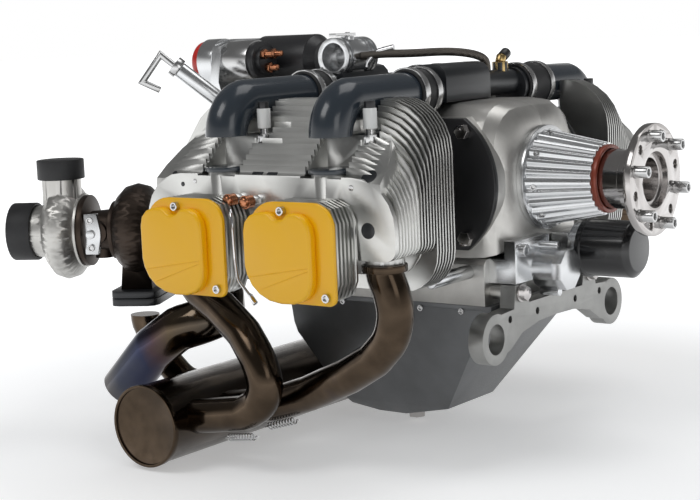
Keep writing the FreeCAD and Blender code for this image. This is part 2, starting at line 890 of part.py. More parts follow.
def header(points):
    """Pipe with its port flange, ending square against the collector's side."""
    route = [vec(*p) for p in points]
    drum = rod(vec(collector_x, collector_near_y, collector_z), vec(collector_x, collector_far_y, collector_z),
               collector_radius)
    body = join([pipe(route, header_radius), header_flange(route[0].x, route[0].y)])
    return body.cut(drum)


def headers():
    """The near pipes sweep forward under the heads, and the far ones run straight back."""
    top = header_port_z
    y = header_port_y
    rear_port_x = 2 * bank_mid_x - header_port_x
    near_front = header([
        (header_port_x, -y, top), (header_port_x, -y, top - 12), (-175, -y, -96), (-170, -y, -119), (-177, -y, -146), (-204, -257, -171),
        (-243, -252, -193), (-306, -243, -221),
        (collector_x + 114, -238, collector_z + 18), (collector_x + 34, -235, collector_z + 4),
    ])
    near_rear = header([
        (rear_port_x, -y, top), (rear_port_x, -y, top - 12), (-458, -y, -94), (-442, -y, -113), (-408, -268, -128), (-364, -280, -152),
        (-339, -288, -178), (-328, -290, -204), (-337, -290, -226),
        (collector_x + 112, -290, collector_z + 18), (collector_x + 34, -290, collector_z + 6),
    ])
    far_front = header([
        (header_port_x, y, top), (header_port_x, y, top - 14), (-187, y, -90), (-200, 258, -106), (-260, 248, -130), (-340, 238, -170),
        (collector_x + 64, 232, collector_z + 40), (collector_x + 24, 230, collector_z + 10),
    ])
    far_rear = header([
        (rear_port_x, y, top), (-461, y, -110), (-466, y, -160), (collector_x + 3, y, collector_z + 28),
    ])
    return [near_front, near_rear, far_front, far_rear]


def exhaust_collector():
    """Closed drum across the engine with a rolled rim at its near end."""
    near = vec(collector_x, collector_near_y, collector_z)
    far = vec(collector_x, collector_far_y, collector_z)
    drum = rod(near, far, collector_radius)
    rim = rod(near - vec(0, 3, 0), near + vec(0, 5, 0), collector_radius + 1.5)
    recess = rod(near - vec(0, 4, 0), near, collector_radius - 2)
    return join([drum, rim]).cut(recess)


def turbo_riser():
    """From the collector's side up to the turbine's foot."""
    foot = turbo_place(0, 0, -foot_depth - foot_plate_thickness)
    route = [foot, foot + vec(0, 0, -26), vec(foot.x + 18, foot.y + 6, -214), vec(-560, -172, -246), vec(collector_x, -165, -262)]
    drum = rod(vec(collector_x, collector_near_y, collector_z), vec(collector_x, collector_far_y, collector_z), collector_radius)
    flange = rod(foot, foot + vec(0, 0, -8), riser_radius + 12)
    return join([pipe(route, riser_radius), flange]).cut(drum)


def tail_pipe():
    """Open-ended outlet pipe that loops forward from the turbine and back out."""
    start = turbo_place(-turbine_half_width - 10, 0, 0)
    route = [
        start, turbo_place(-76, 0, 0), vec(-530, -153, -76), vec(-520, -157, -108), vec(-490, -172, -136), vec(-470, -196, -150),
        vec(-478, -222, -156), vec(-510, -232, -166), vec(-548, -236, -192), vec(-602, -236, -246),
    ]
    body = join([pipe(route, tail_radius), rod(start, start + (route[1] - start).normalize() * 8, tail_radius + 6)])
    back = (route[-2] - route[-1]).normalize()
    mouth = rod(route[-1] - back, route[-1] + back * 60, tail_radius - tail_wall)
    return body.cut(mouth)


# ---- Turbocharger ------------------------------------------------------------------------------

turbo_turn = FreeCAD.Placement(vec(turbo_x, turbo_y, turbo_z), FreeCAD.Rotation(Z_AXIS, turbo_yaw))


def turbo_place(x, y, z):
    """A point given along, beside and above the turbocharger's own axis."""
    return turbo_turn.multVec(vec(x, y, z))


def turbo_revolve(profile):
    """Solid of revolution about the turbocharger's axis, placed on the engine."""
    face = Part.Face(wire([vec(x, 0, r) for x, r in profile]))
    body = face.revolve(vec(0, 0, 0), X_AXIS, 360)
    return placed(body)


def placed(body):
    body = body.copy()
    body.Placement = turbo_turn
    return body


def scroll_profile(station, half_width, radius, bore):
    points = [(station - half_width, bore)]
    for i in range(7):
        angle = math.pi * (1 - i / 6)
        points.append((station + half_width * math.cos(angle), radius * 0.55 + radius * 0.45 * math.sin(angle)))
    points.append((station + half_width, bore))
    return points


def turbine_housing():
    """Scroll round the turbine wheel, with its foot down to the inlet plates."""
    scroll = turbo_revolve(scroll_profile(0, turbine_half_width, turbine_radius, turbine_bore_radius))
    collar = turbo_revolve([
        (-turbine_half_width - 10, turbine_bore_radius), (-turbine_half_width - 10, 33), (-turbine_half_width - 5, 33),
        (-turbine_half_width + 4, 28), (-turbine_half_width + 4, turbine_bore_radius),
    ])
    backplate = turbo_revolve([(12, rotor_shaft_radius + 1), (12, 40), (turbine_half_width, 34), (turbine_half_width, rotor_shaft_radius + 1)])
    foot = loft([
        [vec(-17, -24, -turbine_radius * 0.6), vec(17, -24, -turbine_radius * 0.6), vec(17, 24, -turbine_radius * 0.6), vec(-17, 24, -turbine_radius * 0.6)],
        [vec(-20, -27, -foot_depth), vec(20, -27, -foot_depth), vec(20, 27, -foot_depth), vec(-20, 27, -foot_depth)],
    ])
    core = rod(vec(-turbine_half_width, 0, 0), vec(turbine_half_width, 0, 0), 40)
    return join([scroll, collar, backplate, placed(foot.cut(core))])


def turbo_flange():
    """The two bolted plates between the foot and the riser."""
    half = foot_plate_thickness / 2
    outline = rounded_box_points(-30, 30, -46, 46, (12, 12, 12, 12), 2)
    upper = prism(in_xy(outline, -foot_depth), vec(0, 0, -half + 1))
    lower = prism(in_xy(outline, -foot_depth - half), vec(0, 0, -half))
    gasket = prism(in_xy(rounded_box_points(-27, 27, -43, 43, (10, 10, 10, 10), 2), -foot_depth - half + 1), vec(0, 0, -1))
    return placed(join([upper, gasket, lower]))


def centre_housing():
    """Bearing housing between the two scrolls, with a round pad for the oil pipe."""
    first = turbine_half_width
    last = compressor_station - compressor_half_width
    bore = rotor_shaft_radius + shaft_gap
    body = turbo_revolve([
        (first, bore), (first, 36), (first + 5, 36), (first + 8, 26), (last - 9, 24), (last - 7, 44), (last, 44), (last, bore),
    ])
    mid = (first + last) / 2
    pad = placed(rod(vec(mid, 12, 0), vec(mid, 32, 0), 14))
    hole = placed(rod(vec(mid, 20, 0), vec(mid, 33, 0), 5))
    drain = placed(rod(vec(mid, 0, -34), vec(mid, 0, -12), 11))
    core = placed(rod(vec(first, 0, 0), vec(last, 0, 0), bore))
    return join([body, pad, drain]).cut(hole).cut(core)


def compressor_housing():
    """Scroll with a bell-mouthed inlet and an outlet that rises from its side."""
    scroll = turbo_revolve(scroll_profile(compressor_station, compressor_half_width, compressor_radius, inlet_bore_radius))
    front = compressor_station + compressor_half_width
    neck = turbo_revolve([
        (front - 12, inlet_bore_radius), (front - 12, 40), (front + 6, 33), (inlet_end_station - 4, 31), (inlet_end_station, 32),
        (inlet_end_station, 28), (inlet_end_station - 12, inlet_bore_radius),
    ])
    back = compressor_station - compressor_half_width
    wall = turbo_revolve([(back, rotor_shaft_radius + 1), (back, 46), (back + 10, 46), (back + 10, rotor_shaft_radius + 1)])
    outlet = placed(rod(vec(compressor_station + 2, 10, 30), vec(compressor_station + 2, 10, 72), 24))
    outlet_bore = placed(rod(vec(compressor_station + 2, 10, 58), vec(compressor_station + 2, 10, 73), 20))
    core = placed(rod(vec(back + 10, 0, 0), vec(front, 0, 0), 40))
    return join([scroll, neck, wall, outlet.cut(core)]).cut(outlet_bore)


def inlet_hose():
    return turbo_revolve([
        (inlet_end_station - 10, 32 + fit_gap), (inlet_end_station - 10, 36), (inlet_end_station + 20, 36),
        (inlet_end_station + 20, 32 + fit_gap),
    ])


def outlet_cap():
    """Cap over the compressor's outlet."""
    top = vec(compressor_station + 2, 10, 90)
    cap = rod(top - vec(0, 0, 24), top, 29)
    pocket = rod(top - vec(0, 0, 25), top - vec(0, 0, 18), 24 + fit_gap)
    return placed(cap.cut(pocket))


def bladed_wheel(start, length, outer, pitch_angle):
    """Hub with flat blades set at an angle to the axis and trimmed to the wheel's radius."""
    pieces = [cone(vec(start, 0, 0), vec(start + length, 0, 0), 12, 6)]
    middle = vec(start + length / 2, 0, 0)
    for i in range(blade_count):
        plate = box(-length / 2, length / 2, -0.8, 0.8, 2, outer + 4)
        tilt = FreeCAD.Rotation(Z_AXIS, pitch_angle)
        around = FreeCAD.Rotation(X_AXIS, 360 * i / blade_count)
        plate.Placement = FreeCAD.Placement(middle, around.multiply(tilt))
        pieces.append(plate)
    envelope = rod(vec(start, 0, 0), vec(start + length, 0, 0), outer)
    return join(pieces).common(envelope)


def turbo_rotor():
    """Turbine wheel, shaft and compressor wheel: one spinning piece."""
    turbine = bladed_wheel(-14, 22, turbine_bore_radius - wheel_clearance, 30)
    compressor_start = compressor_station - compressor_half_width + 14
    compressor = bladed_wheel(compressor_start, 30, inlet_bore_radius - wheel_clearance, 35)
    shaft = rod(vec(-10, 0, 0), vec(compressor_start + 36, 0, 0), rotor_shaft_radius)
    return placed(join([turbine, compressor, shaft]))


# ---- Sump, mount beam and oil system --------------------------------------------------------------

def sump():
    """Deep pan: its side view and its end view cut each other."""
    joint_z = case_bottom_z - sump_flange_thickness
    side = prism(in_xz([
        (sump_front_x, joint_z), (sump_rear_x, joint_z), (sump_rear_x, -190), (-412, -262), (-398, -284), (-360, sump_bottom_z), (-320, sump_bottom_z),
        (-250, -275), (-172, -166), (sump_front_x, -154),
    ], -sump_half_width), vec(0, 2 * sump_half_width, 0))
    half = [(0, sump_bottom_z), (-38, sump_bottom_z), (-50, -276), (-93, -176), (-sump_half_width, joint_z)]
    end_view = half + [(-y, z) for y, z in reversed(half[1:])]
    ends = prism(in_yz(end_view, sump_rear_x), vec(sump_front_x - sump_rear_x, 0, 0))
    plate = box(sump_rear_x - 2, sump_front_x + 2, -sump_half_width - 1, sump_half_width + 1, joint_z, case_bottom_z)
    return join([side.common(ends), plate])


def drain_plug():
    base = vec(drain_x, 0, sump_bottom_z)
    return join([rod(base, base + vec(0, 0, -3), 13), hexagon(base + vec(0, 0, -3), base + vec(0, 0, -12), 19)])


def mount_beam():
    """Arched beam with an eye at each end and an ear for each stand-off."""
    rear_x = beam_x - beam_thickness / 2
    run = vec(beam_thickness, 0, 0)
    half = [(0, -134.5), (-62, -135), (-67, -112), (-91, -112), (-95, -138), (-beam_eye_y, -140), (-beam_eye_y, -190),
            (-104, -182), (-78, -167), (-40, -160), (0, -159)]
    outline = half + [(-y, z) for y, z in reversed(half[1:-1])]
    pieces = [prism(in_yz(outline, rear_x), run)]
    bores = []
    for y in (-beam_eye_y, beam_eye_y):
        eye = vec(rear_x, y, beam_eye_z)
        pieces.append(rod(eye, eye + run, beam_eye_radius))
        bores.append(rod(eye - X_AXIS, eye + run + X_AXIS, beam_bore_radius))
    for y in (-ear_y, ear_y):
        bores.append(rod(vec(rear_x - 1, y, ear_z), vec(rear_x + beam_thickness + 1, y, ear_z), 5))
    for y in (-104, -44, 44, 104):
        bores.append(rod(vec(rear_x - 1, y, -148), vec(rear_x + beam_thickness + 1, y, -148), 4))
    return cut(join(pieces), bores)


def mount_bolts():
    bolts = []
    front = beam_x + beam_thickness / 2
    for y in (-ear_y, ear_y):
        head_start = vec(front, y, ear_z)
        shank = rod(vec(front - beam_thickness, y, ear_z), head_start, 5 - fit_gap)
        washer = rod(head_start, head_start + vec(2, 0, 0), 10)
        bolts.append(join([shank, washer, hexagon(head_start + vec(2, 0, 0), head_start + vec(9, 0, 0), 15)]))
    return bolts


def front_block(y0, y1, front, top, bottom):
    """A block on the stepped front of the case."""
    lower = box(case_foot_front_x, front, y0, y1, bottom, case_sill_z)
    upper = box(case_front_x, front, y0, y1, case_sill_z, top)
    return join([lower, upper])


def oil_pump():
    """Cast body on the case's front with a round barrel and an eight-sided cap."""
    centre = vec(-128, -34, -100)
    body = front_block(-90, -14, centre.x, -63, pump_bottom_z)
    barrel_body = rod(centre, centre + vec(26, 0, 0), 22)
    gland = polygon_prism(centre + vec(26, 0, 0), centre + vec(38, 0, 0), 24, 8, 22.5)
    rails = []
    for z in (-74, -126):
        rails.append(rod(vec(-128, -34, z), vec(-104, -34, z), 5))
    screw = join([rod(vec(centre.x, -78, -74), vec(centre.x + 8, -78, -74), 7)])
    pocket = polygon_prism(vec(centre.x + 3, -78, -74), vec(centre.x + 9, -78, -74), 4, 6)
    return join([body, barrel_body, gland] + rails + [screw]).cut(pocket)


def filter_adapter():
    body = front_block(16, 78, -120, -66, pump_bottom_z)
    return join([body, rod(vec(-120, 45, -86), vec(-110, 45, -86), 32)])


def oil_filter():
    """Spin-on canister with a rolled base."""
    start = vec(-110, 45, -86)
    return join([
        rod(start, start + vec(6, 0, 0), 35), rod(start + vec(6, 0, 0), start + vec(60, 0, 0), 33),
        cone(start + vec(60, 0, 0), start + vec(66, 0, 0), 33, 26),
    ])


# ---- Rear housing, starter and dipstick ---------------------------------------------------------------

def rear_housing():
    """Bell over the flywheel."""
    rear_x = case_rear_x - rear_housing_depth
    body = rod(vec(rear_x, 0, 0), vec(case_rear_x, 0, 0), rear_housing_radius)
    rim = rod(vec(case_rear_x - 8, 0, 0), vec(case_rear_x, 0, 0), rear_housing_radius + 5)
    cavity = rod(vec(rear_x + rear_wall, 0, 0), vec(case_rear_x + 1, 0, 0), rear_housing_radius - rear_wall)
    return join([body, rim]).cut(cavity)


def starter_bracket():
    """Plate on the rear housing that carries the solenoid and the motor."""
    rear_x = case_rear_x - rear_housing_depth
    plate = prism(in_yz([
        (-62, 60), (-82, 118), (solenoid_y - 24, solenoid_z + 20), (solenoid_y + 10, solenoid_z + 28), (motor_y + 20, motor_z + 30),
        (motor_y + 34, motor_z), (62, 60),
    ], rear_x), vec(-14, 0, 0))
    nose = rod(vec(rear_x - 14, solenoid_y, solenoid_z), vec(rear_x - 38, solenoid_y, solenoid_z), 29)
    return join([plate, nose])


def solenoid():
    rear_x = case_rear_x - rear_housing_depth
    return rod(vec(rear_x, solenoid_y, solenoid_z), vec(rear_x + 40, solenoid_y, solenoid_z), solenoid_radius)


def solenoid_rear_cap():
    """Domed cap on the nose of the bracket."""
    x = case_rear_x - rear_housing_depth - 38
    return join([
        rod(vec(x, solenoid_y, solenoid_z), vec(x - 10, solenoid_y, solenoid_z), 26),
        cone(vec(x - 10, solenoid_y, solenoid_z), vec(x - 18, solenoid_y, solenoid_z), 26, 19),
    ])


def solenoid_end_cap():
    x = case_rear_x - rear_housing_depth + 40
    return join([
        rod(vec(x, solenoid_y, solenoid_z), vec(x + 10, solenoid_y, solenoid_z), solenoid_radius - 2),
        rod(vec(x + 10, solenoid_y, solenoid_z), vec(x + 15, solenoid_y, solenoid_z), solenoid_radius - 9),
    ])


def solenoid_terminals():
    x = case_rear_x - rear_housing_depth + 55
    studs = []
    for dy, dz in ((-9, 8), (9, 8), (0, -9)):
        start = vec(x, solenoid_y + dy, solenoid_z + dz)
        studs.append(join([rod(start, start + vec(16, 0, 0), 3.5), hexagon(start, start + vec(6, 0, 0), 11)]))
    return group(studs)


def starter_motor():
    rear_x = case_rear_x - rear_housing_depth
    return join([
        rod(vec(rear_x, motor_y, motor_z), vec(rear_x + 84, motor_y, motor_z), motor_radius),
        cone(vec(rear_x + 84, motor_y, motor_z), vec(rear_x + 96, motor_y, motor_z), motor_radius - 1, motor_radius - 9),
    ])


def dipstick_tube():
    return ring(dipstick_foot, dipstick_top, dipstick_tube_radius, dipstick_tube_bore)


def dipstick():
    """Cap, loop handle and the long blade that reaches down into the case."""
    cap_top = dipstick_top + dipstick_line * 9
    pieces = [
        rod(dipstick_foot - dipstick_line * dipstick_depth, cap_top, dipstick_radius),
        rod(dipstick_top + dipstick_line * fit_gap, cap_top, dipstick_tube_radius + 2.5),
        rod(dipstick_top - dipstick_line * 8, dipstick_top + dipstick_line, dipstick_tube_bore - fit_gap),
    ]
    loop_points = [cap_top - dipstick_line * 2, cap_top + dipstick_line * 20]
    loop_points.append(loop_points[1] + vec(-0.48, -0.36, -0.8) * 40)
    loop_points.append(loop_points[2] + vec(0.71, 0.53, -0.45) * 24)
    pieces.append(pipe(loop_points, 4.0))
    return join(pieces)


def build():
    keep("propeller_shaft", propeller_shaft())
    keep("drive_lugs", drive_lugs())
    keep("flywheel", flywheel())
    keep("nose_housing", nose_housing())
    keep("nose_seal", nose_seal())
    keep("crankcase_near", crankcase_near())
    keep("crankcase_far", mirror_bank(crankcase_half()))
    keep("rear_housing", rear_housing())
    keep_all("barrel", four_of(barrel()))
    keep("fasteners", group(cylinder_nuts() + mount_bolts() + [drain_plug()]))
    keep_all("head", heads())
    keep_all("rocker_cover", rocker_covers())
    keep("pushrod_tubes", pushrod_tubes())
    keep("spark_plugs", spark_plugs())
    keep("plug_caps", plug_caps())
    near = [intake_pipe(x, near_pipe_end_y, near_run_z) for x in (intake_front_x, intake_rear_x)]
    far = [intake_pipe(x, far_pipe_end_y, far_run_z) for x in (intake_front_x, intake_rear_x)]
    keep_all("intake_pipe", near + [mirror_bank(p) for p in far])
    keep("intake_manifold", intake_manifold())
    keep("rubber_sleeves", rubber_sleeves())
    keep("hose_clamps", hose_clamps())
    keep("throttle_body", throttle_body())
    keep("throttle_valve", throttle_valve())
    keep("vacuum_hose", vacuum_hose())
    keep_all("exhaust_header", headers())
    keep("exhaust_collector", exhaust_collector())
    keep("turbo_riser", turbo_riser())
    keep("tail_pipe", tail_pipe())
    keep("turbine_housing", turbine_housing())
    keep("turbo_flange", turbo_flange())
    keep("centre_housing", centre_housing())
    keep("compressor_housing", compressor_housing())
    keep("inlet_hose", inlet_hose())
    keep("outlet_cap", outlet_cap())
    keep("turbo_rotor", turbo_rotor())
    keep("sump", sump())
    keep("mount_beam", mount_beam())
    keep("oil_pump", oil_pump())
    keep("filter_adapter", filter_adapter())
    keep("oil_filter", oil_filter())
    keep("starter_bracket", starter_bracket())
    keep("starter_motor", group([starter_motor(), solenoid_end_cap()]))
    keep("solenoid", solenoid())
    keep("solenoid_rear_cap", solenoid_rear_cap())
    keep("solenoid_terminals", solenoid_terminals())
    keep("dipstick_tube", dipstick_tube())
    keep("dipstick", dipstick())


def export():
    os.makedirs("parts", exist_ok=True)
    for name, shape in NODES.items():
        shape.exportStep(os.path.join("parts", name + ".step"))


build()
export()
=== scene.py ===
"""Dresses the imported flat-four aircraft engine: finishes, smooth tubes, covers and small hardware."""

import json
import logging
import math
from dataclasses import dataclass
from enum import Enum
from typing import Any, Callable, Iterable, Optional, Sequence, Union

import bpy
from mathutils import Matrix, Vector

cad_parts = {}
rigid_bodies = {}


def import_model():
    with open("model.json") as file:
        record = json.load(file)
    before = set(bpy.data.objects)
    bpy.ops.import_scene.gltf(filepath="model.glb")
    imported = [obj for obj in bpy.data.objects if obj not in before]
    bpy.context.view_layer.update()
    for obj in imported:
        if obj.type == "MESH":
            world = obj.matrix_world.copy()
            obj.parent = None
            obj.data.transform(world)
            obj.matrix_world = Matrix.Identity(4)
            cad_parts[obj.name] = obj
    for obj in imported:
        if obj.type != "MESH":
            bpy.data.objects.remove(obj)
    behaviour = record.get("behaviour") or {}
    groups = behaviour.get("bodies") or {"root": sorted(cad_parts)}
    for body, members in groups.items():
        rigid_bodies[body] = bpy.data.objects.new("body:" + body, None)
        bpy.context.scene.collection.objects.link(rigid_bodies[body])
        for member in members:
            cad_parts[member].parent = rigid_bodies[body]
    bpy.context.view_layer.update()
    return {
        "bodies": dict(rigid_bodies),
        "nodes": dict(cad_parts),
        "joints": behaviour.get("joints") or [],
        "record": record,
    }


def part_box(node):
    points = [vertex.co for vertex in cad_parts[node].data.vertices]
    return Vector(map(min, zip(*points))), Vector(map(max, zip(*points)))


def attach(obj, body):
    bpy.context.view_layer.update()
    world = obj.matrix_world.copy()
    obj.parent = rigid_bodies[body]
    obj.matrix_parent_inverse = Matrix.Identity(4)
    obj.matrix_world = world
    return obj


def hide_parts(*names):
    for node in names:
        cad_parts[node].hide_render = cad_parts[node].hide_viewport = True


LOG = logging.getLogger("engine")
MM = 0.001
LEAST = 1e-5  # lengths below this count as nothing
WELD = 0.00002  # points nearer than this are made one
BEND_STEP = 9.0  # the degrees of a bend that one step of its tube covers
Point = tuple[float, float, float]
Colour = tuple[float, float, float]
NEAR: Point = (0.0, -1.0, 0.0)


class Body(str, Enum):
    """The moving groups of the frame."""

    ENGINE = "engine"
    CRANK = "crank"
    ROTOR = "turbo_rotor"
    THROTTLE = "throttle_valve"
    DIPSTICK = "dipstick"


class Surface(Enum):
    """How a finish's surface is worked."""

    MACHINED = "machined"
    CAST = "cast"
    PAINTED = "painted"
    RUBBER = "rubber"
    HEATED = "heated"
    BLUED = "blued"
    PLAIN = "plain"
    BRAIDED = "braided"


# ---- Shader building -----------------------------------------------------------------------------


class Wire:
    """A shader socket that takes part in Python arithmetic."""

    def __init__(self, shader: "Shader", socket: Any) -> None:
        """Wraps a socket of one shader."""
        self.shader = shader
        self.socket = socket

    def _maths(self, operation: str, first: Any, second: Any) -> "Wire":
        """Adds one Math node."""
        node = self.shader.add("ShaderNodeMath", {"operation": operation}, {0: first, 1: second})
        return Wire(self.shader, node.outputs[0])

    def __add__(self, other: Any) -> "Wire":
        """Sum."""
        return self._maths("ADD", self, other)

    def __sub__(self, other: Any) -> "Wire":
        """Difference."""
        return self._maths("SUBTRACT", self, other)

    def __mul__(self, other: Any) -> "Wire":
        """Product."""
        return self._maths("MULTIPLY", self, other)

    def ramp(self, *stops: tuple[float, Colour]) -> "Wire":
        """Colours by value.

        Args:
            stops: pairs of position and colour.

        Returns:
            The colour output.
        """
        node = self.shader.add("ShaderNodeValToRGB", {"stops": stops}, {0: self})
        return Wire(self.shader, node.outputs[0])

    def span(self, low: float, high: float, to_low: float, to_high: float) -> "Wire":
        """Maps a range of values onto another and clamps it."""
        node = self.shader.add(
            "ShaderNodeMapRange", {}, {0: self, 1: low, 2: high, 3: to_low, 4: to_high}
        )
        return Wire(self.shader, node.outputs[0])


class Shader:
    """A material's node tree with its Principled shader."""

    def __init__(self, name: str) -> None:
        """Makes an empty material with a Principled shader and an output."""
        self.material = bpy.data.materials.new(name)
        self.material.use_nodes = True
        self.nodes = self.material.node_tree.nodes
        self.links = self.material.node_tree.links
        self.nodes.clear()
        self.body = self.add("ShaderNodeBsdfPrincipled", {}, {})
        self.add("ShaderNodeOutputMaterial", {}, {0: Wire(self, self.body.outputs[0])})

    def add(self, kind: str, settings: dict[str, Any], values: dict[Union[int, str], Any]) -> Any:
        """Adds a node, sets it, and fills its sockets.

        Args:
            kind: the node's type name.
            settings: attributes, or the stops of a colour ramp.
            values: numbers, colours or wires by socket.

        Returns:
            The node.
        """
        node = self.nodes.new(kind)
        for key, value in settings.items():
            if key == "stops":
                self._fill_ramp(node, value)
            else:
                setattr(node, key, value)
        for key, value in values.items():
            if isinstance(value, Wire):
                self.links.new(value.socket, node.inputs[key])
            elif isinstance(value, tuple) and len(value) == 3 and node.inputs[key].type == "RGBA":
                node.inputs[key].default_value = (*value, 1.0)
            else:
                node.inputs[key].default_value = value
        return node

    @staticmethod
    def _fill_ramp(node: Any, stops: Sequence[tuple[float, Colour]]) -> None:
        """Sets the stops of a colour ramp."""
        elements = node.color_ramp.elements
        while len(elements) < len(stops):
            elements.new(0.5)
        for element, (place, colour) in zip(elements, stops):
            element.position = place
            element.color = (*colour, 1.0)

    def place(self, scale: Point = (1.0, 1.0, 1.0), shift: Point = (0.0, 0.0, 0.0)) -> Wire:
        """Object coordinates, scaled and shifted."""
        source = self.add("ShaderNodeTexCoord", {}, {})
        mapped = self.add(
            "ShaderNodeMapping", {}, {0: Wire(self, source.outputs["Object"]), 1: shift, 3: scale}
        )
        return Wire(self, mapped.outputs[0])

    def axis(self, name: str) -> Wire:
        """One Object coordinate, in metres."""
        source = self.add("ShaderNodeTexCoord", {}, {})
        parts = self.add("ShaderNodeSeparateXYZ", {}, {0: Wire(self, source.outputs["Object"])})
        return Wire(self, parts.outputs[name])

    def noise(self, scale: float, detail: float = 3.0, where: Optional[Wire] = None) -> Wire:
        """Cloudy noise from 0 to 1."""
        node = self.add(
            "ShaderNodeTexNoise", {}, {"Vector": where or self.place(), "Scale": scale, "Detail": detail}
        )
        return Wire(self, node.outputs[0])

    def blend(self, factor: Any, first: Any, second: Any) -> Wire:
        """Mixes two colours."""
        node = self.add("ShaderNodeMix", {"data_type": "RGBA"}, {0: factor, 6: first, 7: second})
        return Wire(self, node.outputs[2])

    def set(self, **values: Any) -> None:
        """Sets the Principled shader's sockets, named with underscores for spaces."""
        for key, value in values.items():
            socket = self.body.inputs[key.replace("_", " ")]
            if isinstance(value, Wire):
                self.links.new(value.socket, socket)
            elif isinstance(value, tuple) and len(value) == 3:
                socket.default_value = (*value, 1.0)
            else:
                socket.default_value = value

    def bump(self, height: Wire, depth: float) -> None:
        """Adds relief of a depth in metres."""
        node = self.add("ShaderNodeBump", {}, {"Height": height, "Distance": depth, "Strength": 0.6})
        self.set(Normal=Wire(self, node.outputs[0]))


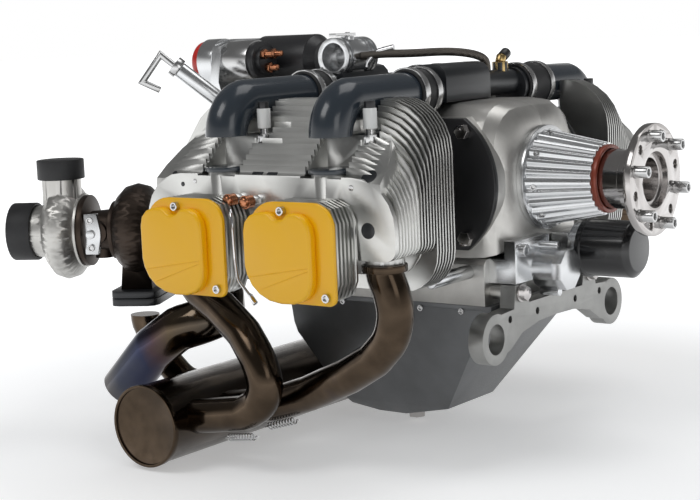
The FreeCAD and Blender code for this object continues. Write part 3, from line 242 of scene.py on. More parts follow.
@dataclass(frozen=True)
class Finish:
    """One surface finish and how it is shaded.

    Attributes:
        name: the material's name.
        colour: the base colour.
        surface: how the surface is worked.
        roughness: the mean roughness.
        metallic: 1 for bare metal.
        coat: the strength of a clear coat.
        grain: the size of the pattern, as a noise scale per metre.
        relief: the depth of the relief, in metres.
        strands: the wave scale of a braid's strands.
    """

    name: str
    colour: Colour
    surface: Surface = Surface.PLAIN
    roughness: float = 0.4
    metallic: float = 0.0
    coat: float = 0.0
    grain: float = 220.0
    relief: float = 0.0
    strands: float = 260.0

    def tone(self, factor: float) -> Colour:
        """The base colour made lighter or darker."""
        return tuple(min(1.0, c * factor) for c in self.colour)

    def build(self) -> Any:
        """Makes the material.

        Returns:
            The material, or the one made before under this name.
        """
        title = self.name + "_finish"
        known = bpy.data.materials.get(title)
        if known:
            return known
        shader = Shader(title)
        shader.set(Metallic=self.metallic, Coat_Weight=self.coat)
        makers: dict[Surface, Callable[[Shader], None]] = {
            Surface.MACHINED: self._machined,
            Surface.CAST: self._cast,
            Surface.PAINTED: self._painted,
            Surface.RUBBER: self._rubber,
            Surface.HEATED: self._heated,
            Surface.BLUED: self._blued,
            Surface.PLAIN: self._plain,
            Surface.BRAIDED: self._braided,
        }
        makers[self.surface](shader)
        return shader.material

    def _plain(self, shader: Shader) -> None:
        """Even colour with faint wear in its gloss."""
        wear = shader.noise(self.grain)
        gloss = wear.span(0.3, 0.7, self.roughness * 0.85, self.roughness * 1.15)
        shader.set(Base_Color=self.colour, Roughness=gloss)

    def _machined(self, shader: Shader) -> None:
        """Tool marks stretched along one way, with a fine scatter of tone."""
        marks = shader.noise(self.grain * 0.6, 2.0, shader.place((0.15, 1.0, 1.0)))
        cloud = shader.noise(self.grain * 0.2)
        shader.set(
            Base_Color=shader.blend(cloud, self.tone(0.90), self.tone(1.06)),
            Roughness=marks.span(0.3, 0.7, self.roughness * 0.92, self.roughness * 1.08),
        )

    def _cast(self, shader: Shader) -> None:
        """Grainy casting with darker hollows in its tone."""
        grain = shader.noise(self.grain * 6, 4.0)
        cloud = shader.noise(self.grain * 0.12, 4.0)
        shader.set(
            Base_Color=shader.blend(cloud.span(0.35, 0.65, 0.0, 1.0), self.tone(0.84), self.tone(1.05)),
            Roughness=grain.span(0.3, 0.7, self.roughness * 0.85, self.roughness * 1.2),
        )
        shader.bump(grain, self.relief)

    def _painted(self, shader: Shader) -> None:
        """Powder coat with a slight orange peel."""
        peel = shader.noise(self.grain * 3, 1.0)
        cloud = shader.noise(self.grain * 0.1)
        shader.set(
            Base_Color=shader.blend(cloud, self.tone(0.96), self.tone(1.04)),
            Roughness=cloud.span(0.3, 0.7, self.roughness * 0.9, self.roughness * 1.1),
        )
        shader.bump(peel, self.relief)

    def _rubber(self, shader: Shader) -> None:
        """Matt rubber with a faint bloom."""
        bloom = shader.noise(self.grain * 0.3, 5.0)
        shader.set(
            Base_Color=shader.blend(bloom.span(0.4, 0.75, 0.0, 1.0), self.colour, self.tone(1.8)),
            Roughness=bloom.span(0.3, 0.7, self.roughness * 0.9, self.roughness * 1.1),
        )

    def _heated(self, shader: Shader) -> None:
        """Stainless tube browned by heat, with bluish and straw patches."""
        drift = shader.noise(14.0, 3.0)
        streak = shader.noise(60.0, 4.0, shader.place((1.0, 0.4, 1.0)))
        tint = drift.ramp(
            (0.30, self.tone(0.62)), (0.46, self.colour), (0.60, self.tone(1.35)),
            (0.78, (0.060, 0.048, 0.048)),
        )
        shader.set(
            Base_Color=shader.blend(streak.span(0.35, 0.75, 0.0, 0.45), tint, self.tone(0.5)),
            Roughness=streak.span(0.3, 0.7, self.roughness * 0.75, self.roughness * 1.4),
        )

    def _blued(self, shader: Shader) -> None:
        """Tube tinted in bands from straw through purple to blue towards its open end."""
        along = shader.axis("X") * -1.0
        drift = shader.noise(20.0, 3.0)
        stain = (along + (drift - 0.5) * 0.05).span(0.46, 0.60, 0.0, 1.0)
        tint = stain.ramp(
            (0.0, (0.075, 0.062, 0.050)), (0.30, (0.10, 0.075, 0.05)), (0.48, (0.075, 0.050, 0.055)),
            (0.64, (0.040, 0.045, 0.080)), (0.82, (0.060, 0.065, 0.085)), (1.0, (0.12, 0.115, 0.115)),
        )
        streak = shader.noise(70.0, 4.0)
        gloss = streak.span(0.3, 0.7, self.roughness * 0.7, self.roughness * 1.4)
        shader.set(Base_Color=tint, Roughness=gloss)

    def _braided(self, shader: Shader) -> None:
        """Woven sleeve: crossing diagonal strands."""
        diagonal = {"bands_direction": "DIAGONAL"}
        first = shader.add("ShaderNodeTexWave", diagonal, {"Vector": shader.place(), "Scale": self.strands})
        crossing = shader.place((-1.0, 1.0, 1.0))
        second = shader.add("ShaderNodeTexWave", diagonal, {"Vector": crossing, "Scale": self.strands})
        weave = Wire(shader, first.outputs[1]) * Wire(shader, second.outputs[1])
        shader.set(Base_Color=shader.blend(weave, self.tone(0.5), self.tone(1.3)), Roughness=self.roughness)
        shader.bump(weave, self.relief)


POLISHED = Finish("polished_steel", (0.50, 0.48, 0.47), Surface.MACHINED, 0.14, 1.0)
BRIGHT = Finish("bright_steel", (0.56, 0.56, 0.56), Surface.MACHINED, 0.22, 1.0)
MACHINED = Finish("machined_aluminium", (0.66, 0.67, 0.68), Surface.MACHINED, 0.25, 1.0)
CASTING = Finish("cast_aluminium", (0.60, 0.59, 0.565), Surface.CAST, 0.40, 1.0, relief=0.00003)
FINS = Finish("fin_aluminium", (0.62, 0.62, 0.60), Surface.MACHINED, 0.32, 1.0)
BEAM = Finish("beam_aluminium", (0.34, 0.34, 0.33), Surface.CAST, 0.42, 1.0, relief=0.00003)
SEAL = Finish("seal_lacquer", (0.26, 0.045, 0.020), Surface.PAINTED, 0.35, 0.2, 0.2)
BLACK_CYLINDER = Finish("cylinder_black", (0.012, 0.012, 0.013), Surface.CAST, 0.36, 0.0, 0.1, relief=0.00004)
YELLOW = Finish("cover_yellow", (1.0, 0.52, 0.0), Surface.PAINTED, 0.30, 0.0, 0.15, 180.0, 0.00002)
GREY_COAT = Finish("grey_coat", (0.028, 0.037, 0.048), Surface.PAINTED, 0.22, 0.0, 0.25, 200.0, 0.00002)
SUMP_COAT = Finish("sump_coat", (0.17, 0.175, 0.18), Surface.CAST, 0.36, 0.6, 0.1, 160.0, 0.00006)
RUBBER = Finish("black_rubber", (0.014, 0.014, 0.015), Surface.RUBBER, 0.55)
BLACK_CASTING = Finish("black_casting", (0.016, 0.018, 0.021), Surface.CAST, 0.34, 0.1, 0.15, relief=0.00004)
CERAMIC = Finish("white_ceramic", (0.80, 0.80, 0.78), Surface.PLAIN, 0.22, 0.0, 0.3)
HOT_STEEL = Finish("hot_steel", (0.072, 0.052, 0.036), Surface.HEATED, 0.16, 1.0)
BLUED = Finish("blued_steel", (0.09, 0.075, 0.065), Surface.BLUED, 0.14, 1.0)
BROWN_IRON = Finish("brown_iron", (0.060, 0.045, 0.036), Surface.CAST, 0.42, 0.9, relief=0.00008)
FILTER = Finish("filter_black", (0.010, 0.010, 0.011), Surface.PAINTED, 0.22, 0.0, 0.3)
RED_CAP = Finish("red_cap", (0.62, 0.020, 0.012), Surface.PAINTED, 0.30, 0.0, 0.3)
COPPER = Finish("copper", (0.45, 0.19, 0.10), Surface.PLAIN, 0.26, 1.0)
BRASS = Finish("brass", (0.50, 0.36, 0.16), Surface.PLAIN, 0.28, 1.0)
CHROME = Finish("chrome", (0.72, 0.72, 0.73), Surface.PLAIN, 0.08, 1.0)
SLEEVE = Finish("braided_sleeve", (0.16, 0.14, 0.12), Surface.BRAIDED, 0.45, 0.6, relief=0.0003)
BLACK_PLASTIC = Finish("black_plastic", (0.022, 0.022, 0.024), Surface.PLAIN, 0.38)


# ---- Modelling helpers -----------------------------------------------------------------------------


def deselect() -> None:
    """Leaves edit mode and clears the selection."""
    if bpy.context.object and bpy.context.object.mode != "OBJECT":
        bpy.ops.object.mode_set(mode="OBJECT")
    bpy.ops.object.select_all(action="DESELECT")


def activate(*pieces: Any) -> None:
    """Selects pieces and makes the first one active."""
    deselect()
    for piece in pieces:
        piece.select_set(True)
    bpy.context.view_layer.objects.active = pieces[0]


def turn_to(direction: Vector) -> Any:
    """The Euler turn that takes +Z to a direction."""
    return Vector(direction).to_track_quat("Z", "Y").to_euler()


def select_faces(piece: Any, wanted: Callable[[Any], bool]) -> None:
    """Goes into edit mode with only the faces that pass a test selected."""
    activate(piece)
    bpy.ops.object.mode_set(mode="EDIT")
    bpy.ops.mesh.select_mode(type="FACE")
    bpy.ops.mesh.select_all(action="DESELECT")
    bpy.ops.object.mode_set(mode="OBJECT")
    for face in piece.data.polygons:
        face.select = wanted(face)
    bpy.ops.object.mode_set(mode="EDIT")


def enter_edit() -> None:
    """Goes into edit mode with everything selected."""
    bpy.ops.object.mode_set(mode="EDIT")
    bpy.ops.mesh.select_all(action="SELECT")


def leave_edit() -> None:
    """Back to object mode."""
    bpy.ops.object.mode_set(mode="OBJECT")


def leave_skin(weld: bool = False) -> None:
    """Turns every face outwards, after joining doubled points if asked, and goes back to object mode."""
    bpy.ops.mesh.select_all(action="SELECT")
    if weld:
        bpy.ops.mesh.remove_doubles(threshold=WELD)
    bpy.ops.mesh.normals_make_consistent(inside=False)
    leave_edit()


def extrude(shift: Any) -> None:
    """Extrudes what is selected by a shift."""
    bpy.ops.mesh.extrude_region_move(TRANSFORM_OT_translate={"value": shift})


def settle(piece: Any) -> None:
    """Puts the object's place and turn into its mesh."""
    activate(piece)
    bpy.ops.object.transform_apply(location=True, rotation=True, scale=True)


def soften(piece: Any, width: float, segments: int = 2, limit: float = 35.0) -> None:
    """Rounds the edges sharper than a limit in degrees."""
    activate(piece)
    modifier = piece.modifiers.new("soften", "BEVEL")
    modifier.width = width
    modifier.segments = segments
    modifier.limit_method = "ANGLE"
    modifier.angle_limit = math.radians(limit)
    modifier.use_clamp_overlap = True
    bpy.ops.object.modifier_apply(modifier=modifier.name)


def smooth(piece: Any, limit: float = 32.0) -> None:
    """Shades smooth across edges below a limit in degrees."""
    activate(piece)
    bpy.ops.object.shade_smooth_by_angle(angle=math.radians(limit))


def join(pieces: Sequence[Any]) -> Any:
    """Joins pieces into the first one."""
    activate(*pieces)
    if len(pieces) > 1:
        bpy.ops.object.join()
    return bpy.context.object


def copy_of(piece: Any) -> Any:
    """A copy with its own mesh."""
    activate(piece)
    bpy.ops.object.duplicate(linked=False)
    return bpy.context.object


def delete_pieces(*pieces: Any) -> None:
    """Removes pieces that were only needed to copy from."""
    activate(*pieces)
    bpy.ops.object.delete()


def mirrored(piece: Any, normal: Point) -> Any:
    """A copy reflected in a plane through the origin, with its normals put right."""
    twin = copy_of(piece)
    twin.matrix_world = Matrix.Scale(-1.0, 4, Vector(normal)) @ twin.matrix_world
    settle(twin)
    enter_edit()
    leave_skin()
    return twin


def bar(
    start: Point, end: Point, radius: float, sides: int = 32, bevel: float = 0.0, tip: Optional[float] = None
) -> Any:
    """A round or many-sided bar between two points, with its ends' edges bevelled."""
    first, last = Vector(start), Vector(end)
    deselect()
    bpy.ops.mesh.primitive_cone_add(
        vertices=sides, radius1=radius, radius2=radius if tip is None else tip, depth=(last - first).length,
        location=(first + last) / 2, rotation=turn_to(last - first),
    )
    piece = bpy.context.object
    settle(piece)
    if bevel:
        soften(piece, bevel, 2, 40.0)
    return piece


def lathe(start: Point, direction: Point, profile: Sequence[tuple[float, float]], sides: int = 48) -> Any:
    """Turns a profile of distance along and radius about a line, by extruding and scaling a ring."""
    origin, way = Vector(start), Vector(direction).normalized()
    deselect()
    along, radius = profile[0]
    bpy.ops.mesh.primitive_circle_add(
        vertices=sides, radius=max(radius, LEAST), fill_type="NOTHING", location=origin + way * along,
        rotation=turn_to(way),
    )
    piece = bpy.context.object
    settle(piece)
    enter_edit()
    for next_along, next_radius in profile[1:]:
        extrude(way * (next_along - along))
        ratio = max(next_radius, LEAST) / max(radius, LEAST)
        bpy.ops.transform.resize(value=(ratio,) * 3, center_override=origin + way * next_along)
        along, radius = next_along, next_radius
    leave_skin(weld=True)
    return piece


class Tube:
    """A tube drawn by extruding its end ring on straights and spinning it round bends."""

    def __init__(self, start: Point, direction: Vector, radius: float, sides: int = 40) -> None:
        """Starts the tube with an open ring."""
        self.point = Vector(start)
        self.way = Vector(direction).normalized()
        deselect()
        bpy.ops.mesh.primitive_circle_add(
            vertices=sides, radius=radius, fill_type="NOTHING", location=self.point,
            rotation=turn_to(self.way),
        )
        self.piece = bpy.context.object
        settle(self.piece)
        enter_edit()

    def straight(self, length: float) -> None:
        """Runs straight on."""
        if length > LEAST:
            extrude(self.way * length)
            self.point = self.point + self.way * length

    def bend(self, way: Vector, radius: float, steps: int) -> None:
        """Turns to a new direction on a bend radius."""
        axis = self.way.cross(way).normalized()
        angle = self.way.angle(way)
        centre = self.point + axis.cross(self.way) * radius
        bpy.ops.mesh.spin(steps=steps, angle=-angle, center=centre, axis=axis)
        self.point = centre + Matrix.Rotation(angle, 3, axis) @ (self.point - centre)
        self.way = way.normalized()

    def close(self) -> Any:
        """Ends the tube.

        Returns:
            The tube's object, with its faces turned outwards.
        """
        leave_skin(weld=True)
        return self.piece


def routed_tube(
    corners: Sequence[Point], radius: float, bend: float, sides: int = 40, wall: float = 0.0
) -> Any:
    """A tube along a route of corners, each rounded by up to a bend radius.

    Args:
        corners: the route's corners, in metres.
        radius: the tube's outer radius.
        bend: the bend radius on the tube's middle line.
        sides: the ring's number of sides.
        wall: the wall's thickness, or 0 for a skin.

    Returns:
        The tube's object.
    """
    points = [Vector(c) for c in corners]
    reaches = [0.0]
    for before, here, after in zip(points, points[1:], points[2:]):
        angle = (here - before).angle(after - here)
        room = min((here - before).length, (after - here).length) * 0.495
        reaches.append(min(bend * math.tan(angle / 2), room))
    reaches.append(0.0)
    tube = Tube(points[0], points[1] - points[0], radius, sides)
    for i in range(1, len(points)):
        run = (points[i] - points[i - 1]).length - reaches[i - 1] - reaches[i]
        tube.straight(run)
        if i < len(points) - 1:
            way = (points[i + 1] - points[i]).normalized()
            angle = tube.way.angle(way)
            if angle > 0.01:
                steps = max(2, round(math.degrees(angle) / BEND_STEP))
                tube.bend(way, reaches[i] / math.tan(angle / 2), steps)
    piece = tube.close()
    if wall:
        activate(piece)
        modifier = piece.modifiers.new("wall", "SOLIDIFY")
        modifier.thickness = wall
        modifier.offset = -1.0
        bpy.ops.object.modifier_apply(modifier=modifier.name)
    else:
        activate(piece)
        enter_edit()
        bpy.ops.mesh.fill_holes(sides=0)
        leave_edit()
    return piece


def spring(start: Point, end: Point, radius: float, wire: float, turns: int) -> Any:
    """A coil spring between two points with a hook at each end.

    Args:
        start: one end.
        end: the other end.
        radius: the coil's radius.
        wire: the wire's radius.
        turns: the number of coils.

    Returns:
        The spring.
    """
    first, way = Vector(start), Vector(end) - Vector(start)
    length = way.length
    deselect()
    bpy.ops.mesh.primitive_circle_add(
        vertices=8, radius=wire, fill_type="NOTHING", location=(radius, 0.0, 0.0),
        rotation=(math.pi / 2, 0.0, 0.0),
    )
    coil = bpy.context.object
    settle(coil)
    turn = coil.modifiers.new("coil", "SCREW")
    turn.screw_offset = length / turns
    turn.iterations = turns
    turn.steps = turn.render_steps = 12
    activate(coil)
    bpy.ops.object.modifier_apply(modifier=turn.name)
    reach = radius * 1.6
    hooks = [
        bar((radius, 0.0, 0.0), (0.0, 0.0, -reach), wire, 8),
        bar((radius, 0.0, length), (0.0, 0.0, length + reach), wire, 8),
    ]
    piece = join([coil, *hooks])
    piece.rotation_euler = way.to_track_quat("Z", "Y").to_euler()
    piece.location = first
    settle(piece)
    return piece


def turned(piece: Any, angle: float, through: Point) -> Any:
    """Turns a piece about the vertical line through a point, by an angle in degrees."""
    shift = Matrix.Translation(through)
    turn = Matrix.Rotation(math.radians(angle), 4, "Z")
    piece.matrix_world = shift @ turn @ shift.inverted() @ piece.matrix_world
    settle(piece)
    return piece


def cap_screw(seat: Point, direction: Point, radius: float, height: float) -> Any:
    """A round screw head with a six-sided socket sunk in it."""
    start, way = Vector(seat), Vector(direction).normalized()
    screw = bar(start, start + way * height, radius, 24)
    select_faces(screw, lambda face: face.normal.dot(way) > 0.9)
    bpy.ops.mesh.inset(thickness=radius * 0.42)
    extrude(way * -height * 0.55)
    leave_edit()
    soften(screw, radius * 0.08, 1, 50.0)
    return screw


def dress(
    piece: Any, name: str, finish: Finish, body: Body = Body.ENGINE, replaced: Iterable[str] = (),
    angle: float = 32.0,
) -> Any:
    """Names a finished piece, shades it, and ties it to a body of the frame.

    Args:
        piece: the object.
        name: its name.
        finish: its finish.
        body: the body that it rides on.
        replaced: the nodes that it stands for.
        angle: the smooth-shading limit in degrees.

    Returns:
        The piece.
    """
    settle(piece)
    smooth(piece, angle)
    piece.name = name
    piece.data.name = name
    piece.data.materials.clear()
    piece.data.materials.append(finish.build())
    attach(piece, body.value)
    nodes = list(replaced)
    if nodes:
        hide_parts(*nodes)
    LOG.info("piece %s: %d faces", name, len(piece.data.polygons))
    return piece


def dress_form(
    piece: Any, node: str, finish: Finish, body: Body = Body.ENGINE, angle: float = 32.0
) -> Any:
    """Dresses a piece that stands for one node of the frame."""
    return dress(piece, node + "_form", finish, body, [node], angle)


def at(x: float, y: float, z: float) -> Point:
    """A point given in millimetres."""
    return (x * MM, y * MM, z * MM)


def route_of(*points: Point) -> list[Point]:
    """A route given in millimetres."""
    return [at(*point) for point in points]


def moved(piece: Any, shift: Point) -> Any:
    """A copy carried along by a shift in metres."""
    twin = copy_of(piece)
    twin.location = Vector(twin.location) + Vector(shift)
    settle(twin)
    return twin


def far_copy(piece: Any) -> Any:
    """The piece on the far bank."""
    return mirrored(piece, (0.0, 1.0, 0.0))


def dress_both_banks(pieces: Sequence[Any], name: str, finish: Finish) -> None:
    """Joins pieces of the near bank with their copy on the far bank and dresses them as one."""
    near = join(pieces)
    dress(join([near, far_copy(near)]), name, finish)


def rounded_plate(
    centre: Point, half_width: float, half_height: float, radii: Sequence[float], thickness: float,
    steps: int = 8,
) -> Any:
    """A plate across the Y axis whose four corners are rounded, grown towards -Y.

    Args:
        centre: the middle of its back face.
        half_width: half its size along X.
        half_height: half its size along Z.
        radii: the corner radii at +X +Z, -X +Z, -X -Z and +X -Z.
        thickness: its thickness.
        steps: the segments of a corner.

    Returns:
        The plate.
    """
    deselect()
    bpy.ops.mesh.primitive_plane_add(size=2.0, location=centre, rotation=(math.pi / 2, 0.0, 0.0))
    plate = bpy.context.object
    plate.scale = (half_width, half_height, 1.0)
    settle(plate)
    signs = ((1, 1), (-1, 1), (-1, -1), (1, -1))
    for (side, rise), radius in zip(signs, radii):
        corner = Vector(centre) + Vector((side * half_width, 0.0, rise * half_height))
        bpy.ops.object.mode_set(mode="EDIT")
        bpy.ops.mesh.select_mode(type="VERT")
        bpy.ops.mesh.select_all(action="DESELECT")
        bpy.ops.object.mode_set(mode="OBJECT")
        nearest = min(plate.data.vertices, key=lambda vertex: (vertex.co - corner).length)
        nearest.select = True
        bpy.ops.object.mode_set(mode="EDIT")
        bpy.ops.mesh.bevel(offset=radius, segments=steps, affect="VERTICES", clamp_overlap=True)
    bpy.ops.mesh.select_all(action="SELECT")
    extrude((0.0, -thickness, 0.0))
    leave_skin()
    return plate


def outline_plate(centre: Point, outline: Sequence[tuple[float, float]], thickness: float) -> Any:
    """A plate across the Y axis with a free outline, grown towards -Y.

    Args:
        centre: the point that the outline is measured from, on its back face.
        outline: the corners' X and Z in millimetres, in order.
        thickness: its thickness.

    Returns:
        The plate.
    """
    deselect()
    bpy.ops.mesh.primitive_circle_add(vertices=len(outline), radius=0.01, fill_type="NGON", location=centre)
    plate = bpy.context.object
    settle(plate)
    for vertex, (x, z) in zip(plate.data.vertices, outline):
        vertex.co = Vector(centre) + Vector((x * MM, 0.0, z * MM))
    enter_edit()
    extrude((0.0, -thickness, 0.0))
    leave_skin()
    return plate


@dataclass
class SubAssembly:
    """What the sub-assemblies share.

    Attributes:
        frame: the loaded frame with its nodes and bodies.
    """

    frame: dict[str, Any]

    def middle(self, node: str) -> Vector:
        """The middle of a node's box."""
        low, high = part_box(node)
        return (Vector(low) + Vector(high)) / 2

    def form_of(self, node: str, flat: float = 1.0) -> Any:
        """A node's form as a new piece with its flat faces merged."""
        piece = copy_of(self.frame["nodes"][node])
        place = piece.matrix_world.copy()
        piece.parent = None
        piece.matrix_world = place
        for key in [key for key in piece.keys() if key.startswith("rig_")]:
            del piece[key]
        settle(piece)
        enter_edit()
        bpy.ops.mesh.remove_doubles(threshold=WELD)
        bpy.ops.mesh.dissolve_limited(angle_limit=math.radians(flat))
        leave_edit()
        return piece

    def refine(
        self, node: str, finish: Finish, width: float = 0.0008, body: Body = Body.ENGINE, segments: int = 2,
        limit: float = 35.0, extras: Sequence[Any] = (), angle: float = 32.0,
    ) -> Any:
        """A node's form with its edges rounded, and further pieces joined to it.

        Args:
            node: the node that it stands for.
            finish: its finish.
            width: the width of the rounding.
            body: the body that it rides on.
            segments: the steps of the rounding.
            limit: the smallest angle of an edge that is rounded.
            extras: pieces of the same finish to join.
            angle: the smooth-shading limit in degrees.

        Returns:
            The dressed piece.
        """
        piece = self.form_of(node)
        if width:
            soften(piece, width, segments, limit)
        if extras:
            piece = join([piece, *extras])
        return dress_form(piece, node, finish, body, angle)


@dataclass
class CrankGroup(SubAssembly):
    """The propeller flange, its drive lugs and the ring gear."""

    def build(self) -> None:
        """Builds what turns with the crankshaft."""
        self.refine("propeller_shaft", POLISHED, 0.0009, Body.CRANK)
        self.refine("drive_lugs", BRIGHT, 0.0008, Body.CRANK)
        self.refine("flywheel", BRIGHT, 0.0, Body.CRANK)


@dataclass
class CaseGroup(SubAssembly):
    """Crankcase halves, fluted nose, seal and rear housing.

    Attributes:
        flute_screw_turns: the angles round the nose of its screws, in degrees.
        nose_rear: where the flutes end, along X.
        nose_reach: the radius on which the screws sit.
    """

    flute_screw_turns: tuple[float, ...] = (20.8, 62.3, 103.8, 145.4, 186.9, 228.5, 270.0, 311.5, 353.1)
    nose_rear: float = -0.134
    nose_reach: float = 0.0535

    def screws(self) -> Any:
        """Small socket screws sunk at the rear ends of the flutes."""
        made = []
        for turn in self.flute_screw_turns:
            side, rise = math.cos(math.radians(turn)), math.sin(math.radians(turn))
            reach = self.nose_reach - 0.004
            seat = (self.nose_rear + 0.008, side * reach, rise * reach)
            made.append(cap_screw(seat, (0.35, side, rise), 0.0034, 0.0055))
        return join(made)

    def build(self) -> None:
        """Builds the castings and the seal."""
        self.refine("crankcase_near", CASTING, 0.003, segments=3, limit=24.0)
        self.refine("crankcase_far", CASTING, 0.003, segments=3, limit=24.0)
        self.refine("nose_housing", MACHINED, 0.0006)
        self.refine("nose_seal", SEAL, 0.0010)
        self.refine("rear_housing", CASTING, 0.002)
        dress(self.screws(), "nose_screws", BRIGHT)


@dataclass
class CylinderGroup(SubAssembly):
    """Finned barrels with their base flanges, nuts and push-rod tubes.

    Attributes:
        deck: the crankcase deck's distance from the middle plane.
        flange: the base flange's radius, height from its middle, and thickness.
        fins: the sleeve's inner and outer fin radius.
        head_start: where the head's first fin begins.
        fin_count: the number of fins.
        hub: the radius of the drum beside the flange.
    """

    deck: float = 0.094
    flange: tuple[float, float, float] = (0.090, 0.074, 0.008)
    fins: tuple[float, float] = (0.060, 0.0700)
    head_start: float = 0.176
    fin_count: int = 9
    hub: float = 0.0735

    def barrel(self, x: float) -> Any:
        """One barrel of the near bank."""
        radius, height, thickness = self.flange
        plate = bar((x, -self.deck, 0.0), (x, -self.deck - thickness, 0.0), radius, 96)
        activate(plate)
        for sign in (-1.0, 1.0):
            enter_edit()
            bpy.ops.mesh.bisect(
                plane_co=(x, 0.0, sign * height), plane_no=(0.0, 0.0, sign), clear_outer=True, use_fill=True
            )
            leave_edit()
        soften(plate, 0.0012, 2, 40.0)
        start = self.deck + thickness
        run = self.head_start - start
        pitch = run / self.fin_count
        low, high = self.fins
        rim = high - 0.0006
        hub = self.hub
        profile = [
            (0.0, hub), (0.0020, hub), (0.0026, hub - 0.002), (0.0042, hub - 0.002), (0.0048, hub),
            (0.0070, hub), (0.0078, low),
        ]
        for i in range(1, self.fin_count):
            begin = i * pitch
            profile += [
                (begin + pitch * 0.30, low), (begin + pitch * 0.42, rim), (begin + pitch * 0.50, high),
                (begin + pitch * 0.62, high), (begin + pitch * 0.70, rim), (begin + pitch * 0.82, low),
            ]
        profile.append((run, low))
        sleeve = lathe((x, -start, 0.0), (0.0, -1.0, 0.0), profile, 72)
        return join([plate, sleeve])

    def build(self) -> None:
        """Builds the four barrels, the nuts and the tubes."""
        front = self.middle("barrel_1").x
        rear = self.middle("barrel_2").x
        first = self.barrel(front)
        second = moved(first, (rear - front, 0.0, 0.0))
        barrels = [first, second, far_copy(first), far_copy(second)]
        for number, piece in enumerate(barrels, 1):
            dress_form(piece, f"barrel_{number}", BLACK_CYLINDER)
        self.refine("fasteners", POLISHED, 0.0012)
        self.refine("pushrod_tubes", MACHINED, 0.0008)


